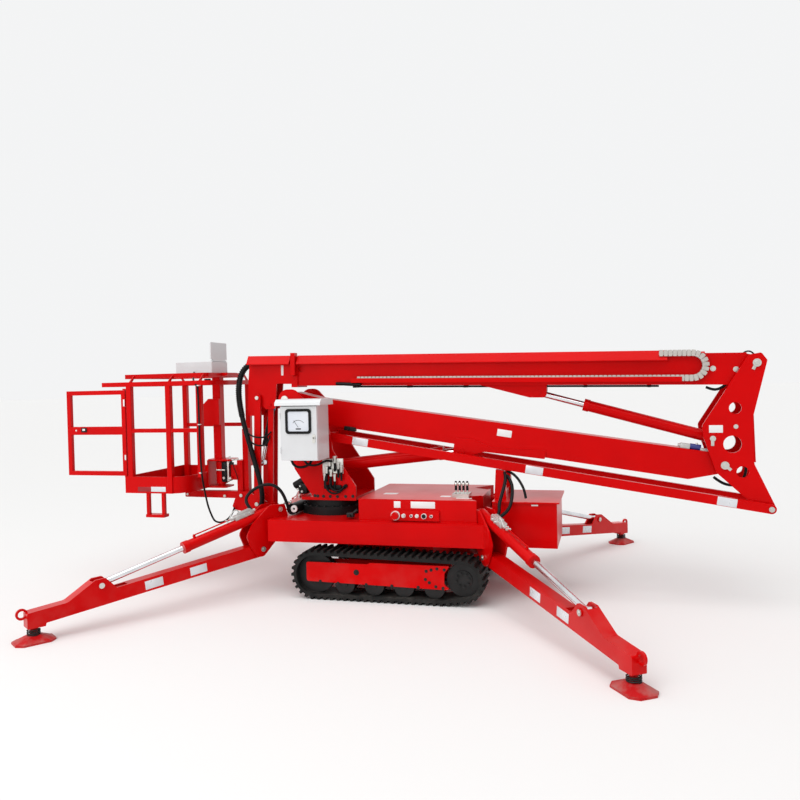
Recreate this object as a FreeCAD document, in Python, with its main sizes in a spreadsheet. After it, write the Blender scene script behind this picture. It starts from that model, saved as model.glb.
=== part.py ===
import FreeCAD, Part
import math
import os

from FreeCAD import Placement, Rotation, Vector

# Tracked articulating boom lift on four outriggers, stored with its booms folded and its outriggers down.
# Millimetres and degrees. The origin is on the ground under the middle of the machine's outer box.
# +X points to the knuckle end (front), -X to the basket (rear), -Y is the right-hand side, +Z is up.

# Name, value and meaning of each driving size. Points of the side view are an X and a Z of their own.
SIZES = [
    ("pinPlay", 0.05, "radial running play of every pin in its bore"),
    ("faceGap", 0.3, "play between faces that slide or turn past each other"),
    ("sideGap", 6, "side play between swinging pieces"),
    # Chassis
    ("chassisRear", -1000, "X of the rear end"),
    ("chassisFront", 890, "X of the front end"),
    ("chassisHalfWidth", 560, "half the width"),
    ("chassisBottom", 450, "Z of the underside"),
    ("deckLevel", 635, "Z of the deck"),
    ("deckPlate", 14, "thickness of the deck"),
    ("beamWidth", 120, "width of the side beams"),
    ("bayCount", 3, "number of bays between the cross members"),
    ("crossWidth", 90, "width of a cross member"),
    # Power unit and front box
    ("coverRear", -207, "X of the power cover's rear"),
    ("coverFront", 800, "X of the power cover's front"),
    ("coverHalfWidth", 476, "half the width of the power cover"),
    ("coverTop", 815, "Z of the top of the power cover"),
    ("coverEdge", 12, "rounding of the power cover"),
    ("panelRear", 76, "X of the control panel's rear end"),
    ("panelLength", 410, "length of the control panel"),
    ("panelHeight", 84, "height of the control panel"),
    ("panelDepth", 22, "how far the control panel stands out"),
    ("frontBoxLength", 520, "length of the front box"),
    ("frontBoxHalfWidth", 330, "half the width of the front box"),
    ("frontBoxBottom", 420, "Z of the front box's underside"),
    ("frontBoxTop", 780, "Z of the front box's top"),
    ("flangeWidth", 22, "overhang of the front box's flange"),
    ("flangeThickness", 12, "thickness of the front box's flange"),
    ("restX", 945, "X of the boom rest"),
    ("restWidth", 100, "length of a rest post along the machine"),
    ("restThickness", 12, "plate thickness of a rest post"),
    ("restGap", 8, "gap between the rest and the link bars"),
    # Running gear
    ("trackInner", 400, "Y of a track's inner edge"),
    ("trackWidth", 250, "width of a track"),
    ("trackBand", 24, "thickness of the rubber band"),
    ("lugHeight", 22, "height of a lug"),
    ("wheelPlay", 1.2, "gap between the wheels and the band"),
    ("lugCount", 64, "lugs around a track"),
    ("lugShare", 0.52, "share of the pitch that a lug fills at its root"),
    ("lugTipShare", 0.36, "share of the pitch that a lug fills at its tip"),
    ("idlerX", -545, "X of the rear idler"),
    ("idlerRadius", 206, "outer radius of the track round the idler"),
    ("sprocketX", 690, "X of the front sprocket"),
    ("sprocketZ", 205, "Z of the front sprocket"),
    ("sprocketRadius", 180, "outer radius of the track round the sprocket"),
    ("lastRollerX", 520, "X where the flat run ends"),
    ("lastRollerRadius", 100, "outer radius of the track where the flat run ends"),
    ("frameRear", -620, "X of a track frame's rear end"),
    ("frameFront", 590, "X of a track frame's front end"),
    ("frameBottom", 128, "Z of a track frame's lower edge"),
    ("frameTop", 318, "Z of a track frame's upper edge"),
    ("frameDepth", 165, "width of a track frame"),
    ("framePlate", 16, "plate thickness of a track frame"),
    ("rollerRadius", 84, "radius of a bottom roller"),
    ("rollerCount", 4, "bottom rollers on a side"),
    ("axleRadius", 22, "radius of the wheels' axles"),
    ("crossBeamHalf", 150, "half the length of a lower cross beam"),
    # Slewing
    ("slewX", -580, "X of the slewing axis"),
    ("slewRadius", 300, "radius of the slewing base"),
    ("slewTop", 765, "Z of the top of the slewing base"),
    ("wormRadius", 48, "radius of the worm housing"),
    ("wormLength", 420, "length of the worm housing"),
    # Turret and lower boom
    ("turretHalf", 275, "half the width over the turret plates"),
    ("turretPlate", 20, "thickness of a turret plate"),
    ("turretElbow", 1040, "Z of the corner in a turret plate's rear edge"),
    ("boomRootX", -930, "X of the lower boom's root pin"),
    ("boomRootZ", 1650, "Z of the lower boom's root pin"),
    ("boomTipX", 2679, "X of the knuckle's lower boom pin"),
    ("boomTipZ", 1077, "Z of the knuckle's lower boom pin"),
    ("linkDX", 317, "X from a lower boom pin to the link pin beside it"),
    ("linkDZ", -327, "Z from a lower boom pin to the link pin beside it"),
    ("rootPinRadius", 32, "radius of the lower boom's root pin"),
    ("tipPinRadius", 30, "radius of the knuckle's lower boom pin"),
    ("linkPinRadius", 20, "radius of the link pins"),
    ("headRadius", 88, "radius of the turret's heads"),
    ("lowerHalfWidth", 90, "half the width of the lower boom"),
    ("linkInner", 165, "Y of a link bar's inner face"),
    ("linkThickness", 40, "thickness of a link bar"),
    ("linkHeight", 72, "height of a link bar"),
    ("knuckleHalf", 155, "half the width over the knuckle plates"),
    ("knucklePlate", 20, "thickness of a knuckle plate"),
    # Upper boom
    ("upperPinX", 2915, "X of the upper boom's pin"),
    ("upperPinZ", 1864, "Z of the upper boom's pin"),
    ("upperTilt", 1.1, "how much the nose of the stowed upper boom is raised"),
    ("upperPinRadius", 30, "radius of the upper boom's pin"),
    ("upperHalfWidth", 100, "half the width of the upper boom"),
    ("upperTopZ", 80, "top of the upper boom over its pin line"),
    ("upperBottomZ", -168, "underside of the upper boom under its pin line"),
    ("upperWall", 10, "wall of the upper boom"),
    ("upperMouth", 3850, "distance of the upper boom's mouth from its pin"),
    ("upperRoot", 62, "distance of the upper boom's closed end from its pin"),
    ("spineHeight", 14, "height of the bevelled strip on the upper boom"),
    ("telescopeGap", 6, "space round the telescopic section"),
    ("telescopeWall", 9, "wall of the telescopic section"),
    ("telescopeTail", 1050, "distance of the telescopic section's tail from the pin"),
    ("telescopeStroke", 2200, "travel of the telescopic section"),
    ("guardStart", 645, "distance of the chain cover's end from the upper boom's pin"),
    ("guardTop", 104, "upper edge of the chain cover over the pin line"),
    ("guardLow", 24, "lower edge of the chain cover over the pin line"),
    ("guardDepth", 52, "how far the chain cover stands out"),
    ("strapWidth", 42, "width of the strap over the mouth of the upper boom"),
    ("trayTop", -104, "upper edge of the cable tray over the pin line"),
    ("trayHeight", 39, "height of the cable tray"),
    ("trayWidth", 52, "width of the cable tray"),
    ("trayWall", 3, "wall of the cable tray"),
    ("trayStart", 535, "distance of the cable tray's end from the upper boom's pin"),
    ("trayLength", 2735, "length of the cable tray"),
    ("chainThickness", 52, "height of a link of the drag chain"),
    ("chainMiddle", 458, "distance of the drag chain's bend from the upper boom's pin"),
    ("chainTop", 108, "top of the drag chain over the pin line"),
    # Jib and platform support
    ("jibPinX", -1280, "X of the jib's upper pin"),
    ("jibPinZ", 1666, "Z of the jib's upper pin"),
    ("jibDX", -31, "X from the jib's upper pin to its lower pin"),
    ("jibDZ", -976, "Z from the jib's upper pin to its lower pin"),
    ("rodLinkDX", 105, "X from a jib pin to the jib link's pin"),
    ("rodLinkDZ", -66, "Z from a jib pin to the jib link's pin"),
    ("jibPinRadius", 16, "radius of the jib's pins"),
    ("jibBarWidth", 62, "width of a jib bar"),
    ("levelPinX", -1485, "X of the levelling pin"),
    ("levelPinZ", 762, "Z of the levelling pin"),
    ("swivelX", -1720, "X of the basket's swivel axis"),
    ("swivelRadius", 52, "radius of the swivel"),
    ("swivelBottom", 865, "Z of the swivel's lower end"),
    ("swivelTop", 1073, "Z of the swivel's upper end"),
    # Basket
    ("basketHalfWidth", 495, "half the width of the basket"),
    ("basketOuterX", -2370, "X of the basket's outer posts"),
    ("basketMiddleX", -1970, "X of the basket's middle posts"),
    ("basketInnerX", -1663, "X of the basket's inner posts"),
    ("toeBottom", 830, "Z of the toe board's lower edge"),
    ("toeHeight", 150, "height of the toe board"),
    ("toeOuterX", -2430, "X of the toe board's outer end"),
    ("toeInnerX", -1822, "X of the toe board's inner end"),
    ("toeCorner", 200, "radius of the toe board's inner corners"),
    ("toeThickness", 6, "thickness of the toe board"),
    ("floorThickness", 8, "thickness of the basket's floor"),
    ("tube", 40, "side of the basket's rails"),
    ("post", 50, "side of the basket's posts"),
    ("railLevel", 1815, "Z of the lower, outer hand rail"),
    ("topRailLevel", 1885, "Z of the upper, inner hand rail"),
    ("middleRailLevel", 1395, "Z of the middle rail"),
    ("railOuterX", -2650, "X of the outer hand rail's outer end"),
    ("railInnerX", -1545, "X of the outer hand rail's inner end"),
    ("topRailInset", 95, "distance of the upper rail inside the lower one"),
    ("mastSide", 80, "side of the basket's mast"),
    ("mastX", -1738, "X of the basket's mast"),
    ("holderBottom", 1420, "Z of the lower edge of the mast's holder plate"),
    ("holderHeight", 245, "height of the mast's holder plate"),
    ("gatePin", 7, "radius of the gate's hinge pins"),
    ("gateHinge", 52, "distance of the gate's hinge from the middle of the outer post"),
    ("gateWidth", 622, "width of the gate"),
    ("gateBottom", 986, "Z of the gate's lower edge"),
    ("gateTop", 1765, "Z of the gate's upper edge"),
    ("controlBottom", 1906, "Z of the platform control box"),
    ("controlHeight", 104, "height of the platform control box"),
    # Ground control cabinet
    ("cabinetX", -832, "X of the cabinet's rear side"),
    ("cabinetWidth", 330, "width of the cabinet"),
    ("cabinetFront", -600, "Y of the cabinet's front"),
    ("cabinetDepth", 255, "depth of the cabinet"),
    ("cabinetBottom", 1144, "Z of the cabinet's underside"),
    ("cabinetHeight", 460, "height of the cabinet"),
    ("cabinetWall", 4, "wall of the cabinet"),
    ("doorThickness", 14, "thickness of the cabinet's door"),
    ("hoodOverhang", 38, "overhang of the cabinet's hood"),
    ("hoodHeight", 52, "height of the cabinet's hood"),
    # Outriggers, in the upright plane of each leg, measured outwards from its hinge
    ("hingeX", 1008, "distance of a leg's hinge from the middle of the pads along X"),
    ("hingeY", 512, "distance of a leg's hinge from the middle plane"),
    ("hingeZ", 365, "Z of a leg's hinge"),
    ("padMiddleX", -100, "X of the middle of the four pads"),
    ("legAzimuth", 55.7, "angle of the legs from the X axis"),
    ("legReach", 1813, "distance of the pad from the leg's hinge"),
    ("legWidth", 100, "width of a leg"),
    ("legDepth", 104, "depth of a leg's beam"),
    ("legPinRadius", 24, "radius of a leg's hinge pin"),
    ("rodPinBack", 462, "distance of the rod's pin from the middle of the pad"),
    ("rodPinZ", 320, "Z of the rod's pin"),
    ("topPinOut", -178, "distance of the cylinder's pin from the hinge"),
    ("topPinZ", 701, "Z of the cylinder's pin"),
    ("bracketPlate", 16, "thickness of a bracket plate"),
    ("ballZ", 118, "Z of the pad's ball"),
    ("ballRadius", 34, "radius of the pad's ball"),
    ("padLength", 270, "length of a pad"),
    ("padWidth", 200, "width of a pad"),
    ("padRim", 14, "thickness of a pad's rim"),
    ("padHeight", 52, "height of a pad's pyramid"),
    # Cylinders: barrel radius, rod radius and pin radius of each kind
    ("legBarrel", 44, "radius of a leg cylinder's barrel"),
    ("legRod", 24, "radius of a leg cylinder's rod"),
    ("legEyePin", 18, "radius of a leg cylinder's pins"),
    ("legBarrelLength", 890, "length of a leg cylinder's barrel"),
    ("liftBaseX", -520, "X of the lift cylinder's base pin"),
    ("liftBaseZ", 1045, "Z of the lift cylinder's base pin"),
    ("liftEyeX", 595, "X of the lift cylinder's rod pin"),
    ("liftEyeZ", 1173, "Z of the lift cylinder's rod pin"),
    ("liftBarrel", 55, "radius of the lift cylinder's barrel"),
    ("liftRod", 32, "radius of the lift cylinder's rod"),
    ("liftPin", 22, "radius of the lift cylinder's pins"),
    ("liftBarrelLength", 960, "length of the lift cylinder's barrel"),
    ("upperBaseX", 2594, "X of the upper cylinder's base pin"),
    ("upperBaseZ", 1285, "Z of the upper cylinder's base pin"),
    ("upperEyeX", 1244, "X of the upper cylinder's rod pin"),
    ("upperEyeZ", 1664, "Z of the upper cylinder's rod pin"),
    ("upperBarrel", 46, "radius of the upper cylinder's barrel"),
    ("upperRod", 27, "radius of the upper cylinder's rod"),
    ("upperEyePin", 20, "radius of the upper cylinder's pins"),
    ("upperBarrelLength", 1010, "length of the upper cylinder's barrel"),
    ("jibEyeShare", 0.62, "share of the jib's length at which its cylinder holds it"),
    ("jibBarrel", 28, "radius of the jib cylinder's barrel"),
    ("jibRod", 16, "radius of the jib cylinder's rod"),
    ("jibBarrelLength", 390, "length of the jib cylinder's barrel"),
]

doc = FreeCAD.newDocument("boomLift")
sheet = doc.addObject("Spreadsheet::Sheet", "Sizes")
for row, (alias, value, meaning) in enumerate(SIZES, start=1):
    sheet.set(f"A{row}", alias)
    sheet.set(f"B{row}", str(value))
    sheet.set(f"C{row}", meaning)
    sheet.setAlias(f"B{row}", alias)
doc.recompute()
size = {alias: float(sheet.get(alias)) for alias, _value, _meaning in SIZES}

pieces = []
PLANES = {"XY": "XY_Plane", "XZ": "XZ_Plane", "YZ": "YZ_Plane"}


# Plane geometry

def turn(point, angle):
    """A point of a plane turned about that plane's origin."""
    a = math.radians(angle)
    return (
        point[0] * math.cos(a) - point[1] * math.sin(a),
        point[0] * math.sin(a) + point[1] * math.cos(a),
    )


def seenFrom(origin, angle, point):
    """A side view point in a frame with its own origin, whose first axis rises by angle."""
    return turn((point[0] - origin[0], point[1] - origin[1]), -angle)


def direction(start, end):
    """Angle and length of the line from start to end."""
    dx, dz = end[0] - start[0], end[1] - start[1]
    return math.degrees(math.atan2(dz, dx)), math.hypot(dx, dz)


def loop(corners):
    """Closed outline through corners (x, y, radius): each corner is rounded by its radius."""
    count = len(corners)
    starts, ends, arcs = [], [], []
    for i, corner in enumerate(corners):
        here = Vector(corner[0], corner[1], 0)
        radius = corner[2] if len(corner) > 2 else 0
        if not radius:
            starts.append(here)
            ends.append(here)
            arcs.append(None)
            continue
        back = Vector(*corners[i - 1][:2], 0) - here
        ahead = Vector(*corners[(i + 1) % count][:2], 0) - here
        half = back.getAngle(ahead) / 2
        reach = radius / math.tan(half)
        first = here + Vector(back).normalize() * reach
        last = here + Vector(ahead).normalize() * reach
        bisector = (Vector(back).normalize() + Vector(ahead).normalize()).normalize()
        middle = here + bisector * (radius / math.sin(half) - radius)
        starts.append(first)
        ends.append(last)
        arcs.append(Part.Arc(first, middle, last))
    lines = []
    for i in range(count):
        if arcs[i]:
            lines.append(arcs[i])
        a, b = ends[i], starts[(i + 1) % count]
        if a.distanceToPoint(b) > 1e-6:
            lines.append(Part.LineSegment(a, b))
    return lines


def box(x0, y0, x1, y1, radius=0):
    """Corners of an upright rectangle."""
    return [(x0, y0, radius), (x1, y0, radius), (x1, y1, radius), (x0, y1, radius)]


def circle(x, y, radius):
    return [Part.Circle(Vector(x, y, 0), Vector(0, 0, 1), radius)]


# Building blocks

def newBody(name):
    return doc.addObject("PartDesign::Body", name)


def sketch(body, plane, loops, offset=0):
    """A sketch on one of the body's own planes, with closed loops, moved along the plane's normal."""
    item = body.newObject("Sketcher::SketchObject", body.Name + "Sketch")
    base = next(o for o in body.Origin.OriginFeatures if o.Role == PLANES[plane])
    item.AttachmentSupport = [(base, "")]
    item.MapMode = "FlatFace"
    item.AttachmentOffset = Placement(Vector(0, 0, offset), Rotation())
    for lines in loops:
        item.addGeometry(lines, False)
    return item


def pad(body, plane, loops, length, offset=0, middle=False):
    """Material along a plane's normal. length is an expression of the sheet or a number."""
    item = body.newObject("PartDesign::Pad", body.Name + "Pad")
    item.Profile = sketch(body, plane, loops, offset)
    item.Midplane = middle
    if isinstance(length, str):
        item.setExpression("Length", length)
    else:
        item.Length = length
    return item


def pocket(body, plane, loops, length, offset=0, middle=False, reverse=False):
    """A cut against a plane's normal, or along it where reverse is set."""
    item = body.newObject("PartDesign::Pocket", body.Name + "Pocket")
    item.Profile = sketch(body, plane, loops, offset)
    item.Midplane = middle
    item.Reversed = reverse
    if isinstance(length, str):
        item.setExpression("Length", length)
    else:
        item.Length = length
    return item


def revolve(body, lines):
    """A full turn of a half outline (along, radius) about the body's own X axis."""
    item = body.newObject("PartDesign::Revolution", body.Name + "Turned")
    item.Profile = sketch(body, "XY", [lines])
    axis = next(o for o in body.Origin.OriginFeatures if o.Role == "X_Axis")
    item.ReferenceAxis = (axis, [""])
    item.Angle = 360
    return item


def place(item, x=0, y=0, z=0, rotation=None):
    """Puts an item at a point. A coordinate is an expression of the sheet or a number."""
    spot = [0 if isinstance(v, str) else v for v in (x, y, z)]
    item.Placement = Placement(Vector(*spot), rotation or Rotation())
    for axis, value in zip("xyz", (x, y, z)):
        if isinstance(value, str):
            item.setExpression(f".Placement.Base.{axis}", value)
    return item


def keep(item, label):
    """Marks an item as a sub-part under its own name."""
    item.Label = label
    pieces.append(item)
    return item


def joined(label, items):
    """One solid from touching items."""
    union = doc.addObject("Part::MultiFuse", label + "Joined")
    union.Shapes = items
    union.Refine = True
    return keep(union, label)


def together(label, items):
    """One node from solids that don't touch."""
    group = doc.addObject("Part::Compound", label + "Set")
    group.Links = items
    return keep(group, label)


def plain(name, shape):
    item = doc.addObject("Part::Feature", name)
    item.Shape = shape
    return item


def block(x0, x1, y0, y1, z0, z1):
    return Part.makeBox(x1 - x0, y1 - y0, z1 - z0, Vector(x0, y0, z0))


def alongY(radius, x, z, y0, y1):
    return Part.makeCylinder(radius, y1 - y0, Vector(x, y0, z), Vector(0, 1, 0))


def alongZ(radius, x, y, z0, z1):
    return Part.makeCylinder(radius, z1 - z0, Vector(x, y, z0), Vector(0, 0, 1))


def plate(corners, holes, y0, y1):
    """An upright plate in the side view (x, z, radius), from y0 to y1, with holes (x, z, radius)."""
    edges = [g.toShape() for g in loop(corners)]
    wires = [Part.Wire(Part.__sortEdges__(edges))]
    for x, z, radius in holes:
        wires.append(Part.Wire([Part.makeCircle(radius, Vector(x, z, 0))]))
    face = Part.Face(wires)
    solid = face.extrude(Vector(0, 0, y1 - y0))
    solid.rotate(Vector(0, 0, 0), Vector(1, 0, 0), 90)
    solid.translate(Vector(0, y1, 0))
    return solid


def fuse(shapes):
    return shapes[0].multiFuse(shapes[1:]).removeSplitter()


def twoPlates(body, loops, half, thickness):
    """A pair of upright plates, mirrored about the middle plane, out to half."""
    pad(body, "XZ", loops, thickness, offset=half - thickness)
    pad(body, "XZ", loops, thickness, offset=-half)


def cross(body, x, z, radius, half):
    """A round bar across the middle plane."""
    pad(body, "XZ", [circle(x, z, radius)], 2 * half, middle=True)


def heads(body, x, z, radius, half, thickness):
    """The two heads of a cross pin, outside the plates it sits in."""
    pad(body, "XZ", [circle(x, z, radius)], thickness, offset=half)
    pad(body, "XZ", [circle(x, z, radius)], thickness, offset=-half - thickness)


def bore(body, x, z, radius, half):
    """A round hole across the middle plane."""
    pocket(body, "XZ", [circle(x, z, radius)], 2 * half, middle=True)


# Frames of the tilted pieces

rootPin = (size["boomRootX"], size["boomRootZ"])
tipPin = (size["boomTipX"], size["boomTipZ"])
linkRoot = (rootPin[0] + size["linkDX"], rootPin[1] + size["linkDZ"])
linkTip = (tipPin[0] + size["linkDX"], tipPin[1] + size["linkDZ"])
boomAngle, boomLength = direction(rootPin, tipPin)
upperPin = (size["upperPinX"], size["upperPinZ"])
jibPin = (size["jibPinX"], size["jibPinZ"])
jibFoot = (jibPin[0] + size["jibDX"], jibPin[1] + size["jibDZ"])
jibAngle, jibLength = direction(jibPin, jibFoot)
jibLinkPin = (jibPin[0] + size["rodLinkDX"], jibPin[1] + size["rodLinkDZ"])
jibLinkFoot = (jibFoot[0] + size["rodLinkDX"], jibFoot[1] + size["rodLinkDZ"])
levelPin = (size["levelPinX"], size["levelPinZ"])
rodPin = (size["legReach"] - size["rodPinBack"], size["rodPinZ"])


def aim(angle):
    """Turns a piece's own X axis to an angle of the side view."""
    return Rotation(Vector(0, 1, 0), -angle)


def onLower(point):
    return seenFrom(rootPin, boomAngle, point)


def onUpper(point):
    """Distance from the upper boom's pin towards the nose, and height over the pin line."""
    along, height = seenFrom(upperPin, -size["upperTilt"], point)
    return -along, height


def placeLower(body):
    return place(body, "Sizes.boomRootX", 0, "Sizes.boomRootZ", aim(boomAngle))


def placeUpper(body):
    rotation = Rotation(Vector(0, 1, 0), size["upperTilt"]) * Rotation(Vector(0, 0, 1), 180)
    return place(body, "Sizes.upperPinX", 0, "Sizes.upperPinZ", rotation)


# Outriggers' corners: name, side along X and side along Y
CORNERS = [("front_right", 1, -1), ("front_left", 1, 1), ("rear_right", -1, -1), ("rear_left", -1, 1)]


def legFrame(sideX, sideY):
    """Hinge point on the ground plan and direction of a leg."""
    a = math.radians(size["legAzimuth"])
    angle = math.degrees(math.atan2(sideY * math.sin(a), sideX * math.cos(a)))
    return size["padMiddleX"] + sideX * size["hingeX"], sideY * size["hingeY"], angle


def placeLeg(item, sideX, sideY):
    x, y, angle = legFrame(sideX, sideY)
    return place(item, x, y, 0, Rotation(Vector(0, 0, 1), angle))


def legBeamZ(out):
    """Height of the middle of a leg's beam."""
    return 372 + (165 - 372) * out / size["legReach"]


def legCorridors(half, inner, corners):
    """Rectangles on the ground plan along the legs, which keep the legs' swing free."""
    loops = []
    for _name, sideX, sideY in corners:
        x, y, angle = legFrame(sideX, sideY)
        points = [turn(c[:2], angle) for c in box(inner, -half, 400, half)]
        loops.append(loop([(x + u, y + v) for u, v in points]))
    return loops


# Chassis

def chassisFrame():
    body = newBody("chassis")
    rear, front, half = size["chassisRear"], size["chassisFront"], size["chassisHalfWidth"]
    bottom = size["chassisBottom"]
    pad(body, "XY", [loop(box(rear, -half, front, half, 10))], "Sizes.deckLevel - Sizes.chassisBottom", bottom)
    count = int(size["bayCount"])
    first, last = rear + 270, front - 270
    pitch = (last - first + size["crossWidth"]) / count
    bays = []
    for i in range(count):
        x0 = first + i * pitch
        for side in (-1, 1):
            y0, y1 = sorted((side * size["crossWidth"] / 2, side * (half - size["beamWidth"])))
            bays.append(loop(box(x0, y0, x0 + pitch - size["crossWidth"], y1, 20)))
    depth = "Sizes.deckLevel - Sizes.deckPlate - Sizes.chassisBottom"
    pocket(body, "XY", bays, depth, bottom, reverse=True)
    slots = legCorridors(size["legWidth"] / 2 + size["sideGap"], -165, CORNERS)
    pocket(body, "XY", slots, 400, 800)
    brackets = [legBracket(*corner) for corner in CORNERS]
    joined("chassis_frame", [body] + brackets)


def legBracket(name, sideX, sideY):
    """Two plates that hold a leg's hinge pin and the base pin of its cylinder."""
    body = newBody("bracket_" + name)
    out, top = size["topPinOut"], size["topPinZ"]
    outline = loop([
        (out - 48, top + 42, 25), (out + 110, top + 38, 45), (92, 604, 60), (150, 505, 50),
        (112, 410, 40), (50, size["hingeZ"] - 48, 45), (-12, size["hingeZ"] - 48, 45),
        (-150, size["chassisBottom"], 30), (-330, size["chassisBottom"], 0),
        (-330, size["deckLevel"], 0), (out - 80, size["deckLevel"], 0),
    ])
    inner = size["legWidth"] / 2 + size["sideGap"]
    half = inner + size["bracketPlate"]
    cross(body, 0, size["hingeZ"], size["legPinRadius"], half + 8)
    twoPlates(body, [outline], half, size["bracketPlate"])
    cross(body, out, top, size["legEyePin"], half + 6)
    return placeLeg(body, sideX, sideY)


def powerCover():
    body = newBody("cover")
    corners = box(size["coverRear"], -size["coverHalfWidth"], size["coverFront"], size["coverHalfWidth"], 10)
    pad(body, "XY", [loop(corners)], "Sizes.coverTop - Sizes.deckLevel", size["deckLevel"])
    notch = size["legWidth"] / 2 + size["sideGap"] + size["bracketPlate"] + size["sideGap"]
    pocket(body, "XY", legCorridors(notch, -345, CORNERS[:2]), 400, 900)
    keep(body, "power_cover")


def controlPanel():
    """Raised panel with its buttons on the power cover's right side."""
    body = newBody("panel")
    x0, z0 = size["panelRear"], size["deckLevel"] + 10
    x1, z1 = x0 + size["panelLength"], z0 + size["panelHeight"]
    face = size["coverHalfWidth"]
    pad(body, "XZ", [loop(box(x0, z0, x1, z1, 8))], "Sizes.panelDepth", face)
    middle = z0 + size["panelHeight"] / 2
    knobs = [(46, 26), (115, 14), (180, 9), (227, 11), (286, 17), (347, 9)]
    pad(body, "XZ", [circle(x0 + dx, middle, r) for dx, r in knobs], 14, face + size["panelDepth"])
    keep(body, "control_panel")


def leverBank():
    """Valve block with four levers on the power cover."""
    z = size["coverTop"]
    shapes = [block(560, 700, -330, -190, z, z + 30)]
    for i in range(4):
        x = 582 + 32 * i
        shapes.append(alongZ(6, x, -260, z + 30, z + 95))
        shapes.append(Part.makeSphere(15, Vector(x, -260, z + 105)))
    keep(plain("levers", fuse(shapes)), "lever_bank")


def frontBox():
    body = newBody("frontBox")
    front = size["chassisFront"] + size["frontBoxLength"]
    half = size["frontBoxHalfWidth"]
    height = "Sizes.frontBoxTop - Sizes.frontBoxBottom"
    pad(body, "XY", [loop(box(size["chassisFront"], -half, front, half, 12))], height, size["frontBoxBottom"])
    over = size["flangeWidth"]
    flange = loop(box(size["chassisFront"] + 2, -half - over, front + over, half + over, 16))
    pad(body, "XY", [flange], "Sizes.flangeThickness", size["frontBoxTop"])
    keep(body, "front_box")


def linkLevel(x):
    """Height of the underside of the stowed link bars."""
    slope = math.tan(math.radians(boomAngle))
    return linkRoot[1] + (x - linkRoot[0]) * slope - size["linkHeight"] / 2 / math.cos(math.radians(boomAngle))


def boomRest():
    """Frame on the front box that carries the stowed link bars."""
    x = size["restX"]
    half = size["restWidth"] / 2
    y0, y1 = size["linkInner"] - 10, size["linkInner"] + size["linkThickness"] + 10
    low = size["frontBoxTop"] + size["flangeThickness"]
    corners = [(x - half, low), (x + half, low)]
    corners += [(x + half * 0.7, linkLevel(x + half * 0.7) - size["restGap"])]
    corners += [(x - half * 0.7, linkLevel(x - half * 0.7) - size["restGap"])]
    shapes = [plate(corners, [], side * y0 if side > 0 else -y1, y1 if side > 0 else -y0) for side in (-1, 1)]
    shapes.append(block(x - 30, x + 30, -y0 - 1, y0 + 1, low, low + 60))
    keep(plain("rest", fuse(shapes)), "boom_rest")


# Running gear

TRACK_CIRCLES = [
    (size["idlerX"], size["idlerRadius"], size["idlerRadius"]),
    (size["lastRollerX"], size["lastRollerRadius"], size["lastRollerRadius"]),
    (size["sprocketX"], size["sprocketZ"], size["sprocketRadius"]),
]


def beltPath():
    """Stretches of the loop round the track's circles, in order, as (length, place at a distance)."""
    stretches = []
    count = len(TRACK_CIRCLES)
    normals = []
    for i in range(count):
        x0, z0, r0 = TRACK_CIRCLES[i]
        x1, z1, r1 = TRACK_CIRCLES[(i + 1) % count]
        length = math.hypot(x1 - x0, z1 - z0)
        heading = math.atan2(z1 - z0, x1 - x0)
        normals.append(heading - math.pi / 2 - math.asin((r1 - r0) / length))
    for i in range(count):
        x0, z0, r0 = TRACK_CIRCLES[i]
        x1, z1, r1 = TRACK_CIRCLES[(i + 1) % count]
        n = normals[i]
        start = (x0 + r0 * math.cos(n), z0 + r0 * math.sin(n))
        end = (x1 + r1 * math.cos(n), z1 + r1 * math.sin(n))
        stretches.append(("line", start, end, n))
        turnBy = (normals[(i + 1) % count] - n) % (2 * math.pi)
        stretches.append(("arc", (x1, z1), r1, n, turnBy))
    return stretches


def alongBelt(stretches, distance):
    """Point of the loop and direction outwards at a distance along it."""
    for stretch in stretches:
        if stretch[0] == "line":
            _kind, start, end, normal = stretch
            length = math.dist(start, end)
            if distance <= length:
                t = distance / length
                return (start[0] + (end[0] - start[0]) * t, start[1] + (end[1] - start[1]) * t), normal
        else:
            _kind, centre, radius, normal, turnBy = stretch
            length = radius * turnBy
            if distance <= length:
                a = normal + distance / radius
                return (centre[0] + radius * math.cos(a), centre[1] + radius * math.sin(a)), a
        distance -= length
    return alongBelt(stretches, 0)


def beltLength(stretches):
    return sum(math.dist(s[1], s[2]) if s[0] == "line" else s[2] * s[4] for s in stretches)


def track(side, name):
    """Rubber loop with its lugs in its outline."""
    stretches = beltPath()
    count = int(size["lugCount"])
    pitch = beltLength(stretches) / count
    root, tip, high = size["lugShare"] * pitch, size["lugTipShare"] * pitch, size["lugHeight"]
    outer, inner = [], []
    for i in range(count):
        middle = (i + 0.5) * pitch
        for shift, depth in ((-root / 2, high), (-tip / 2, 0), (tip / 2, 0), (root / 2, high)):
            (x, z), a = alongBelt(stretches, middle + shift)
            outer.append(Vector(x - depth * math.cos(a), 0, z - depth * math.sin(a)))
        depth = high + size["trackBand"]
        for shift in (-pitch / 4, pitch / 4):
            (x, z), a = alongBelt(stretches, middle + shift)
            inner.append(Vector(x - depth * math.cos(a), 0, z - depth * math.sin(a)))
    outside, hollow = (Part.Face(Part.makePolygon(points + points[:1])) for points in (outer, inner))
    solid = outside.cut(hollow).extrude(Vector(0, size["trackWidth"], 0))
    y0 = size["trackInner"] if side > 0 else -size["trackInner"] - size["trackWidth"]
    item = plain("track_" + name, solid)
    place(item, 0, y0, 0)
    keep(item, "track_" + name)


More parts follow.
